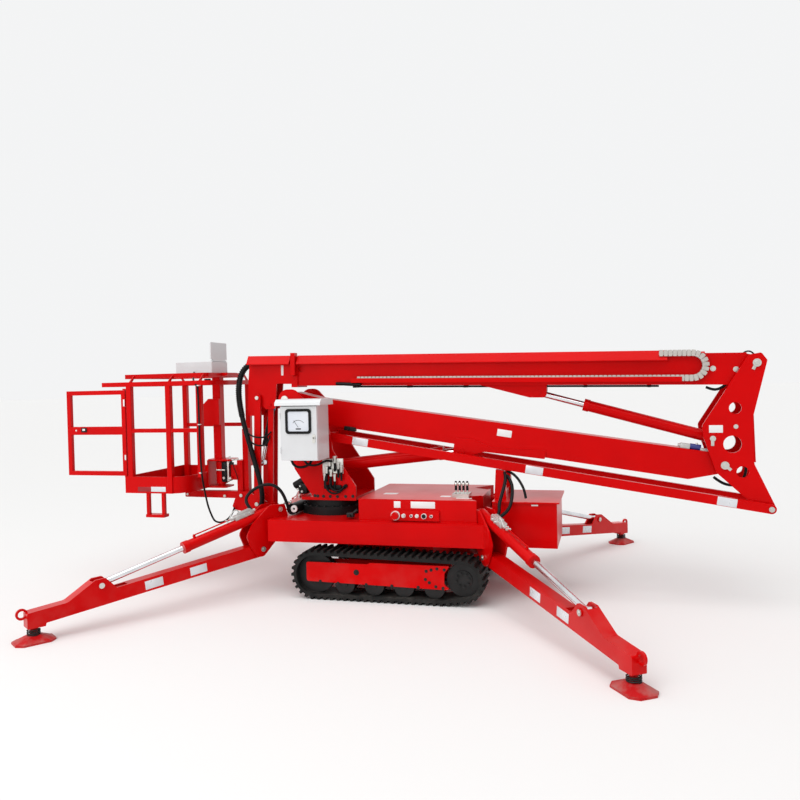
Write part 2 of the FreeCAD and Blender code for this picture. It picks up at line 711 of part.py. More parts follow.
def trackFrame(side, name):
    """Channel between the wheels, with its outer plate hollowed round the sprocket."""
    low, high = size["frameBottom"], size["frameTop"]
    rear, front = size["frameRear"], size["frameFront"]
    corners = [(rear, low + 20, 20), (rear, high - 12, 14), (-90, high - 12, 0), (-70, high, 0), (front, high, 6)]
    corners += [(front - 42, high - 60, 60), (front - 46, low + 40, 40), (front, low + 6, 6), (front - 40, low, 10)]
    outside = size["trackInner"] + size["trackWidth"] - 18
    t, deep = size["framePlate"], size["frameDepth"]
    sheets = [(outside - t, outside), (outside - deep, outside - deep + t)]
    shapes = []
    for y0, y1 in sheets:
        a, b = sorted((side * y0, side * y1))
        shapes.append(plate(corners, [], a, b))
    a, b = sorted((side * outside, side * (outside - deep)))
    shapes.append(block(rear + 260, front - 90, a, b, high - 90, high - 70))
    item = plain("trackFrame_" + name, fuse(shapes))
    keep(item, "track_frame_" + name)


def trackWheels(side, name):
    """Idler, sprocket and rollers, which stay still with the loop."""
    band = size["lugHeight"] + size["trackBand"] + size["wheelPlay"]
    outside = size["trackInner"] + size["trackWidth"] - 18
    t, deep = size["framePlate"], size["frameDepth"]
    y0, y1 = outside - deep + t, outside - t
    shapes = []

    def wheel(x, z, radius, rim):
        a, b = sorted((side * (y0 + rim), side * (y1 - rim)))
        disc = alongY(radius, x, z, a, b)
        a, b = sorted((side * y0, side * y1))
        return fuse([disc, alongY(size["axleRadius"], x, z, a, b)])

    shapes.append(wheel(size["idlerX"], size["idlerRadius"], size["idlerRadius"] - band, 30))
    count = int(size["rollerCount"])
    first, last = size["idlerX"] + 250, size["lastRollerX"] - 60
    for i in range(count):
        x = first + (last - first) * i / (count - 1)
        shapes.append(wheel(x, band + size["rollerRadius"], size["rollerRadius"], 12))
    shapes.append(sprocket(side, size["sprocketRadius"] - band, y0, y1))
    keep(plain("wheels_" + name, Part.makeCompound(shapes)), "track_wheels_" + name)


def sprocket(side, radius, y0, y1):
    x, z = size["sprocketX"], size["sprocketZ"]
    a, b = sorted((side * (y0 + 30), side * (y1 - 30)))
    disc = alongY(radius, x, z, a, b)
    a, b = sorted((side * (y0 - 60), side * (y1 - 20)))
    hub = alongY(radius * 0.55, x, z, a, b)
    return fuse([disc, hub])


def lowerCross():
    """Beams under the chassis that carry the two track frames."""
    half = size["crossBeamHalf"]
    reach = size["trackInner"] + size["trackWidth"] - 18 - size["frameDepth"]
    inside = size["trackInner"] - 8
    shapes = []
    for x in (-260, 330):
        shapes.append(block(x - half * 0.5, x + half * 0.5, -reach, reach, 180, 290))
        shapes.append(block(x - half * 0.5, x + half * 0.5, -inside, inside, 280, size["chassisBottom"]))
    shapes.append(block(-260, 330, -120, 120, 200, size["chassisBottom"]))
    x = size["sprocketX"]
    for side in (-1, 1):
        a, b = sorted((side * (reach - 44 - size["faceGap"]), side * 200))
        shapes.append(block(330, x + 60, a, b, 175, 235))
    keep(plain("lowerCross", fuse(shapes)), "undercarriage_beam")


# Slewing

def slewBase():
    body = newBody("slew")
    x, low = size["slewX"], size["deckLevel"]
    pad(body, "XY", [circle(x, 0, size["slewRadius"])], "(Sizes.slewTop - Sizes.deckLevel) * 0.55", low)
    step = low + (size["slewTop"] - low) * 0.5
    pad(body, "XY", [circle(x, 0, size["slewRadius"] - 35)], "(Sizes.slewTop - Sizes.deckLevel) * 0.5", step)
    worm = size["wormRadius"]
    z = low + worm + 6
    half = size["wormLength"] / 2
    pad(body, "XZ", [circle(x - size["slewRadius"] + 10, z, worm)], size["wormLength"], half - size["wormLength"] + 120)
    keep(body, "slew_base")


def turret():
    body = newBody("turretBody")
    half, t = size["turretHalf"], size["turretPlate"]
    low = size["slewTop"] + size["faceGap"]
    pad(body, "XY", [loop(box(-805, -half, -296, half, 20))], 26, low)
    head = size["headRadius"]
    outline = loop([
        (rootPin[0] - head, rootPin[1] + head, head - 1), (rootPin[0] + head, rootPin[1] + head, head - 1),
        (linkRoot[0] + 82, linkRoot[1] + 80, 60), (-500, 1200, 80),
        (-294, 893, 15), (-294, low, 0), (-672, low, 45), (-860, size["turretElbow"], 150),
    ])
    twoPlates(body, [outline], half, t)
    pad(body, "XZ", [loop([(-790, 950), (-772, 950), (-640, low + 20), (-665, low + 20)])], 2 * (half - 5), middle=True)
    cross(body, *rootPin, size["rootPinRadius"], half + 14)
    cross(body, *linkRoot, size["linkPinRadius"], half + 10)
    cross(body, size["liftBaseX"], size["liftBaseZ"], size["liftPin"], half + 10)
    keep(body, "turret")


def cabinetBox():
    body = newBody("cabinetBody")
    x0, w = size["cabinetX"], size["cabinetWidth"]
    front, deep = size["cabinetFront"], size["cabinetDepth"]
    z0, h = size["cabinetBottom"], size["cabinetHeight"]
    wall = size["cabinetWall"]
    outer = loop(box(x0, front, x0 + w, front + deep, 6))
    pad(body, "XY", [outer], "Sizes.cabinetHeight", z0)
    inside = loop(box(x0 + wall, z0 + wall, x0 + w - wall, z0 + h - wall))
    pocket(body, "XZ", [inside], deep - wall, -front, reverse=False)
    over, hood = size["hoodOverhang"], size["hoodHeight"]
    roof = loop([
        (front - over, z0 + h), (front - over + 4, z0 + h + hood * 0.45, 14), (front - over + 34, z0 + h + hood, 30),
        (front + deep + 4, z0 + h + hood, 12), (front + deep + 20, z0 + h),
    ])
    pad(body, "YZ", [roof], w + 2 * over, x0 - over)
    back = -size["turretHalf"]
    beside = linkRoot[0] - size["linkPinRadius"] - 12
    pad(body, "XY", [loop(box(x0 + 60, front + deep, beside, back))], 220, z0 + 120)
    keep(body, "control_cabinet")


def cabinetDoor():
    body = newBody("doorBody")
    x0, w = size["cabinetX"], size["cabinetWidth"]
    front = size["cabinetFront"] - size["faceGap"]
    z0, h = size["cabinetBottom"], size["cabinetHeight"]
    outline = loop(box(x0 + 2, z0 + 2, x0 + w - 2, z0 + h - 8, 6))
    pad(body, "XZ", [outline], "Sizes.doorThickness", -front)
    frame = [loop(box(x0 + 52, z0 + 225, x0 + w - 52, z0 + h - 30, 26)),
             loop(box(x0 + 66, z0 + 239, x0 + w - 66, z0 + h - 44, 14))]
    pad(body, "XZ", frame, 6, -front + size["doorThickness"])
    pad(body, "XZ", [circle(x0 + w - 30, z0 + 190, 12)], 10, -front + size["doorThickness"])
    for z in (z0 + 60, z0 + h - 110):
        pad(body, "XY", [circle(x0 + 2, front - size["doorThickness"], 7)], 50, z)
    keep(body, "cabinet_door")


# Lower boom, link and knuckle

def lowerBoom():
    body = newBody("lower")
    half = size["lowerHalfWidth"]
    end = boomLength
    outline = loop([
        (-60, -45, 50), (-40, 70, 60), (240, 44, 0), (end - 130, 80, 30), (end + 45, 66, 55),
        (end + 50, -52, 50), (end - 240, -158, 40), (300, -184, 40),
    ])
    pad(body, "XZ", [outline], 2 * half, middle=True)
    hub = size["turretHalf"] - size["turretPlate"] - size["sideGap"]
    cross(body, 0, 0, size["rootPinRadius"] + 24, hub)
    hub = size["knuckleHalf"] - size["knucklePlate"] - size["sideGap"]
    cross(body, end, 0, size["tipPinRadius"] + 24, hub)
    eye = onLower((size["liftEyeX"], size["liftEyeZ"]))
    side = loop([
        (eye[0] - 62, -120, 10), (eye[0] + 85, -108, 10), (eye[0] + 255, -152, 40), (eye[0] + 400, -142, 40),
        (2290, -108, 10), (2290, -180, 10), (eye[0] + 200, -200, 60), (eye[0] + 30, eye[1] - 40, 36),
        (eye[0] - 62, eye[1] - 34, 36),
    ])
    twoPlates(body, [side], half + 12, 14)
    heads(body, *eye, size["liftPin"] + 10, half + 12, 8)
    bore(body, 0, 0, size["rootPinRadius"] + size["pinPlay"], 300)
    bore(body, end, 0, size["tipPinRadius"] + size["pinPlay"], 300)
    placeLower(body)
    keep(body, "lower_boom")


def linkBars():
    bars = []
    for side in (-1, 1):
        body = newBody("link" + ("Right" if side < 0 else "Left"))
        half = size["linkHeight"] / 2
        outline = loop([
            (-half, -half, half - 1), (boomLength + half, -half, half - 1), (boomLength + half, half, half - 1),
            (-half, half, half - 1),
        ])
        holes = [circle(x, 0, size["linkPinRadius"] + size["pinPlay"]) for x in (0, boomLength)]
        inner = size["linkInner"]
        offset = inner if side < 0 else -inner - size["linkThickness"]
        pad(body, "XZ", [outline] + holes, "Sizes.linkThickness", offset)
        bars.append(place(body, "Sizes.boomRootX + Sizes.linkDX", 0, "Sizes.boomRootZ + Sizes.linkDZ", aim(boomAngle)))
    together("link_bars", bars)


def knuckle():
    body = newBody("knuckleBody")
    half, t = size["knuckleHalf"], size["knucklePlate"]
    web = loop([(2874, 1510), (2890, 1510), (2902, 1100), (2886, 1100)])
    pad(body, "XZ", [web], 2 * (half - t) + 10, middle=True)
    outline = loop([
        (2858, 1926, 20), (2948, 1942, 20), (2990, 1882, 12), (2884, 1450, 90), (2888, 1090, 80),
        (3032, 770, 18), (3020, 702, 22), (2940, 716, 60), (2618, 1020, 50), (2528, 1290, 60), (2518, 1385, 40),
    ])
    holes = [circle(2759, 1519, 45), circle(2736, 1240, 66), circle(2806, 1026, 44)]
    twoPlates(body, [outline] + holes, half, t)
    cross(body, *upperPin, size["upperPinRadius"], half + 10)
    cross(body, *tipPin, size["tipPinRadius"], half + 8)
    cross(body, size["upperBaseX"], size["upperBaseZ"], size["upperEyePin"], half + 8)
    cross(body, *linkTip, size["linkPinRadius"], size["linkInner"] + size["linkThickness"] + 10)
    keep(body, "knuckle")


# Upper boom and telescopic section

def upperSection(shrink):
    """Corners of the upper boom's section, taken in all round."""
    half = size["upperHalfWidth"] - shrink
    return box(-half, size["upperBottomZ"] + shrink, half, size["upperTopZ"] - shrink)


def upperBoom():
    body = newBody("upper")
    root, mouth = size["upperRoot"], size["upperMouth"]
    pad(body, "YZ", [loop(upperSection(0))], "Sizes.upperMouth - Sizes.upperRoot", root)
    cavity = loop(upperSection(size["upperWall"]))
    pocket(body, "YZ", [cavity], mouth - 620, mouth)
    collar = size["upperWall"] + size["telescopeGap"] - size["faceGap"]
    pad(body, "YZ", [loop(upperSection(-14)), loop(upperSection(collar))], 58, mouth - 58)
    hub = size["knuckleHalf"] - size["knucklePlate"] - size["sideGap"]
    cross(body, 0, 0, size["upperPinRadius"] + 30, hub)
    top, high = size["upperTopZ"], size["spineHeight"]
    wedge = loop([(0, -60), (0, 60), (root + 40, top), (root + 40, size["upperBottomZ"])])
    pad(body, "XZ", [wedge], 2 * 90, middle=True)
    spine = loop([(-74, top), (74, top), (56, top + high), (-56, top + high)])
    pad(body, "YZ", [spine], mouth - 58 - 360, 360)
    eye = onUpper((size["upperEyeX"], size["upperEyeZ"]))
    low = size["upperBottomZ"]
    ear = loop([
        (eye[0] - 82, low, 0), (eye[0] - 78, eye[1] - 40, 30), (eye[0] + 60, eye[1] - 40, 40),
        (eye[0] + 470, low, 0),
    ])
    twoPlates(body, [ear], 56, 16)
    heads(body, *eye, size["upperEyePin"] + 8, 56, 7)
    start = size["guardStart"]
    pad(body, "YZ", [chainCover(size["upperHalfWidth"] - 4)], mouth - 58 - start, start)
    side = size["upperHalfWidth"]
    strap = loop(box(side - 4, -76, side + size["guardDepth"] + 6, size["guardTop"] + 23, 6))
    pad(body, "YZ", [strap], "Sizes.strapWidth", mouth - size["strapWidth"] - 8)
    window = loop(box(mouth - 121, -45, mouth - 63, 11, 26))
    pocket(body, "XZ", [window], size["upperWall"] + 1, size["upperWall"] + 1 - side)
    bore(body, 0, 0, size["upperPinRadius"] + size["pinPlay"], 300)
    placeUpper(body)
    keep(body, "upper_boom")


def chainCover(inner):
    """Bevelled section over the drag chain's upper run, from inner to the edge that stands out."""
    side = size["upperHalfWidth"]
    edge = side + size["guardDepth"]
    top, low = size["guardTop"], size["guardLow"]
    return loop([(inner, low), (inner, top - 4), (side + 8, top), (edge, low + 6), (edge, low)])


def cableTray():
    """Open channel on the right side of the upper boom, in which the drag chain's lower run lies."""
    body = newBody("tray")
    top, deep, wide, t = size["trayTop"], size["trayHeight"], size["trayWidth"], size["trayWall"]
    near = size["upperHalfWidth"]
    far = near + wide
    section = loop([
        (near, top), (near + t, top), (near + t, top - deep + t), (far - t, top - deep + t),
        (far - t, top), (far, top), (far, top - deep), (near, top - deep),
    ])
    pad(body, "YZ", [section], "Sizes.trayLength", size["trayStart"])
    placeUpper(body)
    keep(body, "cable_tray")


def dragChain():
    """Drag chain: its lower run in the tray, its bend, and the end of its upper run at the cover."""
    body = newBody("chain")
    low = size["trayTop"] - size["trayHeight"] + size["trayWall"]
    top, thick = size["chainTop"], size["chainThickness"]
    radius = (top - low) / 2
    left = size["chainMiddle"] - radius
    end = size["trayStart"] + size["trayLength"] - 60
    outline = loop([
        (left, low, radius - 0.5), (left, top, radius - 0.5), (size["guardStart"], top), (size["guardStart"], top - thick),
        (left + thick, top - thick, radius - thick), (left + thick, low + thick, radius - thick),
        (end, low + thick), (end, low),
    ])
    inside = size["trayWall"] + size["faceGap"]
    pad(body, "XZ", [outline], size["trayWidth"] - 2 * inside, -size["upperHalfWidth"] - size["trayWidth"] + inside)
    placeUpper(body)
    keep(body, "drag_chain")


def telescope():
    """Telescopic section with its nose, which carries the jib."""
    body = newBody("telescopeBody")
    shrink = size["upperWall"] + size["telescopeGap"]
    tail = size["telescopeTail"]
    end = onUpper((-966, 1900))[0] + 60
    pad(body, "YZ", [loop(upperSection(shrink))], end - tail, tail)
    pad(body, "YZ", [loop(upperSection(size["upperWall"] + size["faceGap"]))], 60, tail)
    side = [(-1362, 2036, 12), (-968, 2030, 0), (-972, 1792, 0), (-1100, 1792, 10), (-1120, 1560, 30), (-1230, 1560, 30),
            (-1240, 1640, 20), (-1300, 1500, 20), (-1398, 1500, 12), (-1386, 1780, 80)]
    outline = loop([onUpper(p[:2]) + (p[2],) for p in side])
    twoPlates(body, [outline], 76, 16)
    cap = [(-1362, 2036), (-968, 2030), (-968, 2012), (-1362, 2018)]
    pad(body, "XZ", [loop([onUpper(p) for p in cap])], 2 * 96, middle=True)
    cross(body, *onUpper(jibPin), size["jibPinRadius"], 120)
    cross(body, *onUpper(jibLinkPin), size["jibPinRadius"], 84)
    start = size["upperMouth"] + 12
    pad(body, "YZ", [chainCover(74)], onUpper((-1362, 2036))[0] - start, start)
    placeUpper(body)
    keep(body, "telescope_boom")


# Jib and platform support

def jibBars():
    body = newBody("jib")
    half = size["jibBarWidth"] / 2
    outline = loop([
        (-half, -half, half - 1), (jibLength + half, -half, half - 1), (jibLength + half, half, half - 1),
        (-half, half, half - 1),
    ])
    eye = jibLength * size["jibEyeShare"]
    twoPlates(body, [outline], 112, 30)
    heads(body, eye, 0, size["jibPinRadius"] + 6, 112, 6)
    cross(body, jibLength, 0, size["jibPinRadius"], 118)
    bore(body, 0, 0, size["jibPinRadius"] + size["pinPlay"], 200)
    place(body, "Sizes.jibPinX", 0, "Sizes.jibPinZ", aim(jibAngle))
    keep(body, "jib_arm")


def jibLink():
    bars = []
    for side in (-1, 1):
        body = newBody("jibLink" + ("Right" if side < 0 else "Left"))
        half = 26
        outline = loop([
            (-half, -half, half - 1), (jibLength + half, -half, half - 1), (jibLength + half, half, half - 1),
            (-half, half, half - 1),
        ])
        holes = [circle(x, 0, size["jibPinRadius"] + size["pinPlay"]) for x in (0, jibLength)]
        offset = 36 if side < 0 else -54
        pad(body, "XZ", [outline] + holes, 18, offset)
        place(body, "Sizes.jibPinX + Sizes.rodLinkDX", 0, "Sizes.jibPinZ + Sizes.rodLinkDZ", aim(jibAngle))
        bars.append(body)
    together("jib_link", bars)


def rocker():
    """Pair of plates at the foot of the jib, which carry the platform support on the levelling pin."""
    body = newBody("rockerBody")
    outline = loop([
        (levelPin[0] - 40, levelPin[1] + 36, 30), (levelPin[0] + 60, levelPin[1] + 36, 30),
        (jibFoot[0] + 40, jibFoot[1] + 44, 30), (jibLinkFoot[0] + 36, jibLinkFoot[1] + 36, 30),
        (jibLinkFoot[0] + 36, jibLinkFoot[1] - 36, 30), (jibLinkFoot[0] - 60, jibLinkFoot[1] - 34, 30),
        (-1556, 626, 12), (-1580, 660, 12),
    ])
    cross(body, *levelPin, size["jibPinRadius"], 82)
    twoPlates(body, [outline], 76, 16)
    cross(body, *jibLinkFoot, size["jibPinRadius"], 80)
    bore(body, *jibFoot, size["jibPinRadius"] + size["pinPlay"], 120)
    keep(body, "jib_rocker")


def platformSupport():
    """Arm under the basket, post and swivel of the basket."""
    body = newBody("support")
    pad(body, "XZ", [loop([(-2095, 733, 8), (-2095, 790, 8), (-1450, 796, 10), (-1446, 728, 20), (-1520, 728, 10)])], 72, middle=True)
    pad(body, "XZ", [loop([(-1485, 780), (-1430, 780), (-1430, 1382, 10), (-1485, 1382, 10)])], 60, middle=True)
    pad(body, "XZ", [loop([(-1536, 785), (-1480, 785), (-1480, 1086), (-1536, 1086)])], 100, middle=True)
    axis = size["swivelX"]
    pad(body, "XY", [circle(axis, 0, size["swivelRadius"])], "Sizes.swivelTop - Sizes.swivelBottom", size["swivelBottom"])
    pad(body, "XZ", [loop([(axis, 900), (axis, 1040), (-1530, 1040), (-1530, 900)])], 60, middle=True)
    bore(body, *levelPin, size["jibPinRadius"] + size["pinPlay"], 120)
    keep(body, "platform_support")


# Basket

def railLoop(outerX, innerX, half, tube, radius):
    """Outline of a hand rail seen from above: outer and inner edge."""
    return [
        loop([(outerX, -half, 12), (innerX, -half, radius), (innerX, half, radius), (outerX, half, 12)]),
        loop([
            (outerX + tube, -half + tube, 4), (innerX - tube, -half + tube, radius - tube),
            (innerX - tube, half - tube, radius - tube), (outerX + tube, half - tube, 4),
        ]),
    ]


def basket():
    body = newBody("basketBody")
    half, tube, post = size["basketHalfWidth"], size["tube"], size["post"]
    low, rail = size["toeBottom"], size["railLevel"]
    outerX, innerX = size["toeOuterX"], size["toeInnerX"]
    corner, t = size["toeCorner"], size["toeThickness"]
    inside = half - tube
    toe = [
        loop([(outerX, -half, 8), (innerX, -half, corner), (innerX, half, corner), (outerX, half, 8)]),
        loop([
            (outerX + t, -half + t, 4), (innerX - t, -half + t, corner - t), (innerX - t, half - t, corner - t),
            (outerX + t, half - t, 4),
        ]),
    ]
    pad(body, "XY", toe, "Sizes.toeHeight", low)
    pad(body, "XY", [toe[0]], "Sizes.floorThickness", low)
    posts = []
    for x in (size["basketOuterX"], size["basketMiddleX"]):
        for side in (-1, 1):
            y = side * (half - post / 2)
            posts.append(loop(box(x - post / 2, y - post / 2, x + post / 2, y + post / 2, 5)))
    pad(body, "XY", posts, "Sizes.railLevel - Sizes.toeBottom", low)
    pad(body, "XY", railLoop(size["railOuterX"], size["railInnerX"], half, tube, 60), tube, rail - tube / 2)
    inset = size["topRailInset"]
    upperRail = railLoop(size["railOuterX"] + inset + 85, size["railInnerX"] - inset, half - inset, tube, 60)
    pad(body, "XY", upperRail, tube, size["topRailLevel"] - tube / 2)
    upper = size["topRailLevel"]
    for x in (size["basketOuterX"], size["basketMiddleX"], size["basketInnerX"]):
        gussets = []
        for side in (-1, 1):
            outline = [(half - 3, rail + 4), (half - inset - 4, upper + 12), (half - inset - 4, upper - 12), (half - tube + 4, rail - 8)]
            gussets.append(loop([(side * y, z) for y, z in outline]))
        pad(body, "YZ", gussets, 10, x - 5)
    inner = []
    for side in (-1, 1):
        y = side * (half - post / 2)
        x = size["basketInnerX"]
        inner.append(loop(box(x - post / 2, y - post / 2, x + post / 2, y + post / 2, 5)))
    pad(body, "XY", inner, "Sizes.railLevel - Sizes.toeBottom - Sizes.toeHeight", low + size["toeHeight"])
    middle = []
    for side in (-1, 1):
        y0, y1 = sorted((side * half, side * inside))
        middle.append(loop(box(size["basketOuterX"], y0 + 4, size["basketInnerX"], y1 - 4)))
    pad(body, "XY", middle, 36, size["middleRailLevel"] - 18)
    mast = size["mastSide"]
    x = size["mastX"]
    pad(body, "XY", [loop(box(x - mast / 2, -mast / 2, x + mast / 2, mast / 2, 6))], size["topRailLevel"] - 1090, 1090)
    z0 = size["holderBottom"]
    z1 = z0 + size["holderHeight"]
    holder = loop([(x - 132, z0, 6), (x + 46, z0, 6), (x + 46, z1, 6), (x - 63, z1, 12), (x - 132, z1 - 65, 12)])
    pad(body, "XZ", [holder], 40, mast / 2 - 2)
    swivel = size["swivelX"]
    gap = size["faceGap"]
    pad(body, "XY", [loop(box(innerX - 3, -90, swivel + 140, 90, 30))], 16, 1082)
    pad(body, "XY", [loop(box(innerX - 3, -90, swivel + 88, 90, 30))], 14, low)
    pad(body, "XY", [circle(swivel, 0, 38)], 1084 - size["swivelTop"] - gap, size["swivelTop"] + gap)
    pad(body, "XY", [circle(swivel, 0, 38)], size["swivelBottom"] - gap - low, low)
    pad(body, "XY", [loop(box(innerX - 3, -90, innerX + 9, 90))], 1090 - low, low)
    seat = size["controlBottom"] - gap
    pad(body, "XY", [loop(box(x - 300, -100, size["railInnerX"] - tube, 100))], 28, seat - 28)
    pivot = gatePivot()
    for z, z0, z1 in ((size["gateTop"] + 1, size["gateTop"] - 24, size["gateTop"] + 13),
                      (size["gateBottom"] - 13, size["gateBottom"] - 13, size["gateBottom"] + 24)):
        pad(body, "XY", [loop(box(pivot[0] - 14, pivot[1] - 12, size["basketOuterX"] - 14, pivot[1] + 12, 4))], 12, z)
        pad(body, "XY", [circle(*pivot, size["gatePin"])], z1 - z0, z0)
    keep(body, "basket_frame")


def gatePivot():
    """Place of the gate's hinge on the ground plan."""
    return size["basketOuterX"] - size["gateHinge"], 20 - size["basketHalfWidth"]


def gate():
    body = newBody("gateBody")
    half, tube = size["basketHalfWidth"], size["tube"]
    pivot = gatePivot()
    hinge = pivot[0] + 14
    outer = hinge - size["gateWidth"]
    z0, z1 = size["gateBottom"], size["gateTop"]
    loops = [loop(box(outer, z0, hinge, z1, 4)), loop(box(outer + tube, z0 + tube, hinge - tube, z1 - tube))]
    pad(body, "XZ", loops, 34, half - 37)
    pad(body, "XZ", [loop(box(outer, 1360, hinge, 1434, 2))], 34, half - 37)
    for z in (z0, z1 + 1):
        pocket(body, "XY", [circle(*pivot, size["gatePin"] + size["pinPlay"])], 28 if z > z1 else 27, z if z > z1 else z0 + 26)
    keep(body, "gate")


def controlBox():
    body = newBody("controls")
    z = size["controlBottom"]
    x = size["mastX"]
    pad(body, "XY", [loop(box(x - 300, -150, x + 26, 150, 8))], "Sizes.controlHeight", z)
    pad(body, "XY", [loop(box(x - 375, -110, x - 315, -40, 4))], 100, z + 6)
    pad(body, "XY", [loop(box(x - 316, -95, x - 295, -55))], 20, z + 20)
    hingeX, hingeZ = lidHinge()
    for y in (-136, 122):
        pad(body, "XZ", [loop(box(hingeX - 8, z + size["controlHeight"] - 2, hingeX + 8, hingeZ + 8, 3))], 14, -y - 14)
    cross(body, hingeX, hingeZ, 4, 136)
    keep(body, "control_box")


def lidHinge():
    """Hinge of the platform controls' lid in the side view."""
    return size["mastX"] + 14, size["controlBottom"] + size["controlHeight"] + 9


def controlLid():
    body = newBody("lidBody")
    x, z = lidHinge()
    cross(body, x, z, 8, 118)
    outline = loop([
        (-118, z + 2), (118, z + 2), (118, z + 14), (150, z + 14), (150, z + 172, 8), (-150, z + 172, 8),
        (-150, z + 14), (-118, z + 14),
    ])
    pad(body, "YZ", [outline], 10, x - 5)
    bore(body, x, z, 4 + size["pinPlay"], 200)
    keep(body, "control_lid")


def basketStep():
    """Step under the basket's right side."""
    shapes = []
    y0 = -size["basketHalfWidth"]
    for x in (-2215, -2060):
        shapes.append(block(x, x + 30, y0 + 4, y0 + 34, 640, size["toeBottom"]))
    shapes.append(block(-2215, -2030, y0 - 10, y0 + 70, 615, 641))
    keep(plain("step", fuse(shapes)), "basket_step")


# Outriggers

def leg(name, sideX, sideY):
    body = newBody("leg_" + name)
    half = size["legDepth"] / 2
    reach = size["legReach"]
    pinOut, pinZ = rodPin
    ballZ = size["ballZ"]
    outline = loop([
        (-50, size["hingeZ"] + 50, 48), (120, legBeamZ(120) + half, 100), (pinOut - 115, legBeamZ(pinOut - 115) + half, 0),
        (pinOut - 34, pinZ + 50, 22), (pinOut + 42, pinZ + 46, 22), (pinOut + 240, legBeamZ(pinOut + 240) + half, 60),
        (reach + 52, legBeamZ(reach) + half, 16), (reach + 52, ballZ - 12, 6), (reach - 70, ballZ - 12, 6),
        (reach - 74, legBeamZ(reach - 74) - half + 6, 4), (-50, size["hingeZ"] - 46, 46),
    ])
    pad(body, "XZ", [outline], "Sizes.legWidth", middle=True)
    slotHalf = size["legRod"] + 4 + size["sideGap"]
    slot = loop(box(pinOut - 200, pinZ - 46, pinOut + 60, pinZ + 90))
    pocket(body, "XZ", [slot], 2 * slotHalf, middle=True)
    heads(body, pinOut, pinZ, size["legEyePin"] + 8, size["legWidth"] / 2, 7)
    bore(body, 0, size["hingeZ"], size["legPinRadius"] + size["pinPlay"], 100)
    ring = [circle(reach + 76, 208, 40), circle(reach + 76, 208, 24)]
    pad(body, "XZ", ring, 16, middle=True)
    ball = body.newObject("PartDesign::SubtractiveSphere", body.Name + "Socket")
    ball.setExpression("Radius", "Sizes.ballRadius + Sizes.faceGap")
    ball.Placement = Placement(Vector(reach, 0, ballZ), Rotation())
    placeLeg(body, sideX, sideY)
    keep(body, "outrigger_" + name)


def foot(name, sideX, sideY):
    """Ground pad with its ball."""
    reach, ballZ = size["legReach"], size["ballZ"]
    a, b = size["padLength"] / 2, size["padWidth"] / 2
    cut = 45
    rim = size["padRim"]

    def ground(scale, z):
        pts = [(-a, -b + cut), (-a + cut, -b), (a - cut, -b), (a, -b + cut), (a, b - cut), (a - cut, b), (-a + cut, b), (-a, b - cut)]
        return Part.makePolygon([Vector(reach + x * scale, y * scale, z) for x, y in pts + pts[:1]])

    base = Part.Face(ground(1, 0)).extrude(Vector(0, 0, rim))
    pyramid = Part.makeLoft([ground(0.96, rim), ground(0.36, size["padHeight"])], True, True)
    neck = alongZ(26, reach, 0, size["padHeight"] - 2, ballZ)
    ball = Part.makeSphere(size["ballRadius"], Vector(reach, 0, ballZ))
    item = plain("foot_" + name, fuse([base, pyramid, neck, ball]))
    placeLeg(item, sideX, sideY)
    keep(item, "outrigger_pad_" + name)


# Cylinders

def barrel(name, radius, rod, pin, length, width):
    """Barrel with its base eye at the origin, along X."""
    body = newBody("barrel_" + name)
    eye = pin + 16
    start = eye * 0.7
    bottom = eye + 14
    hole = rod + size["pinPlay"]
    collar = 46
    lines = loop([
        (start, 0), (start, radius), (length - collar, radius), (length - collar, radius + 5),
        (length, radius + 5), (length, hole), (bottom, hole), (bottom, 0),
    ])
    revolve(body, lines)
    pad(body, "XZ", [circle(0, 0, eye)], width, middle=True)
    pocket(body, "XZ", [circle(0, 0, pin + size["pinPlay"])], width + 2, middle=True)
    return body


def rodOf(name, rod, pin, inside, length, width, pinHalf):
    """Rod from its inner end to its eye with the eye's pin, along X."""
    body = newBody("rod_" + name)
    eye = pin + 14
    revolve(body, loop([(inside, 0), (inside, rod), (length - eye * 0.6, rod), (length - eye * 0.6, 0)]))
    pad(body, "XZ", [circle(length, 0, eye)], width, middle=True)
    cross(body, length, 0, pin, pinHalf)
    return body


def cylinder(name, base, eye, sizes, inside, width, pinHalf):
    """Barrel and rod between two points of the side view."""
    radius, rod, pin, length = sizes
    angle, reach = direction(base, eye)
    for body, label in (
        (barrel(name, radius, rod, pin, length, width), name + "_barrel"),
        (rodOf(name, rod, pin, inside, reach, width, pinHalf), name + "_rod"),
    ):
        place(body, base[0], 0, base[1], aim(angle))
        keep(body, label)


def legCylinder(name, sideX, sideY):
    base = (size["topPinOut"], size["topPinZ"])
    angle, reach = direction(base, rodPin)
    x, y, azimuth = legFrame(sideX, sideY)
    rotation = Rotation(Vector(0, 0, 1), azimuth)
    spot = rotation.multVec(Vector(base[0], 0, base[1])) + Vector(x, y, 0)
    length = size["legBarrelLength"]
    width = 2 * (size["legRod"] + 4)
    for body, label in (
        (barrel(name, size["legBarrel"], size["legRod"], size["legEyePin"], length, width), "leg_barrel_" + name),
        (rodOf(name, size["legRod"], size["legEyePin"], length - 280, reach, width, width / 2 + 4), "leg_rod_" + name),
    ):
        place(body, spot.x, spot.y, spot.z, rotation * aim(angle))
        keep(body, label)


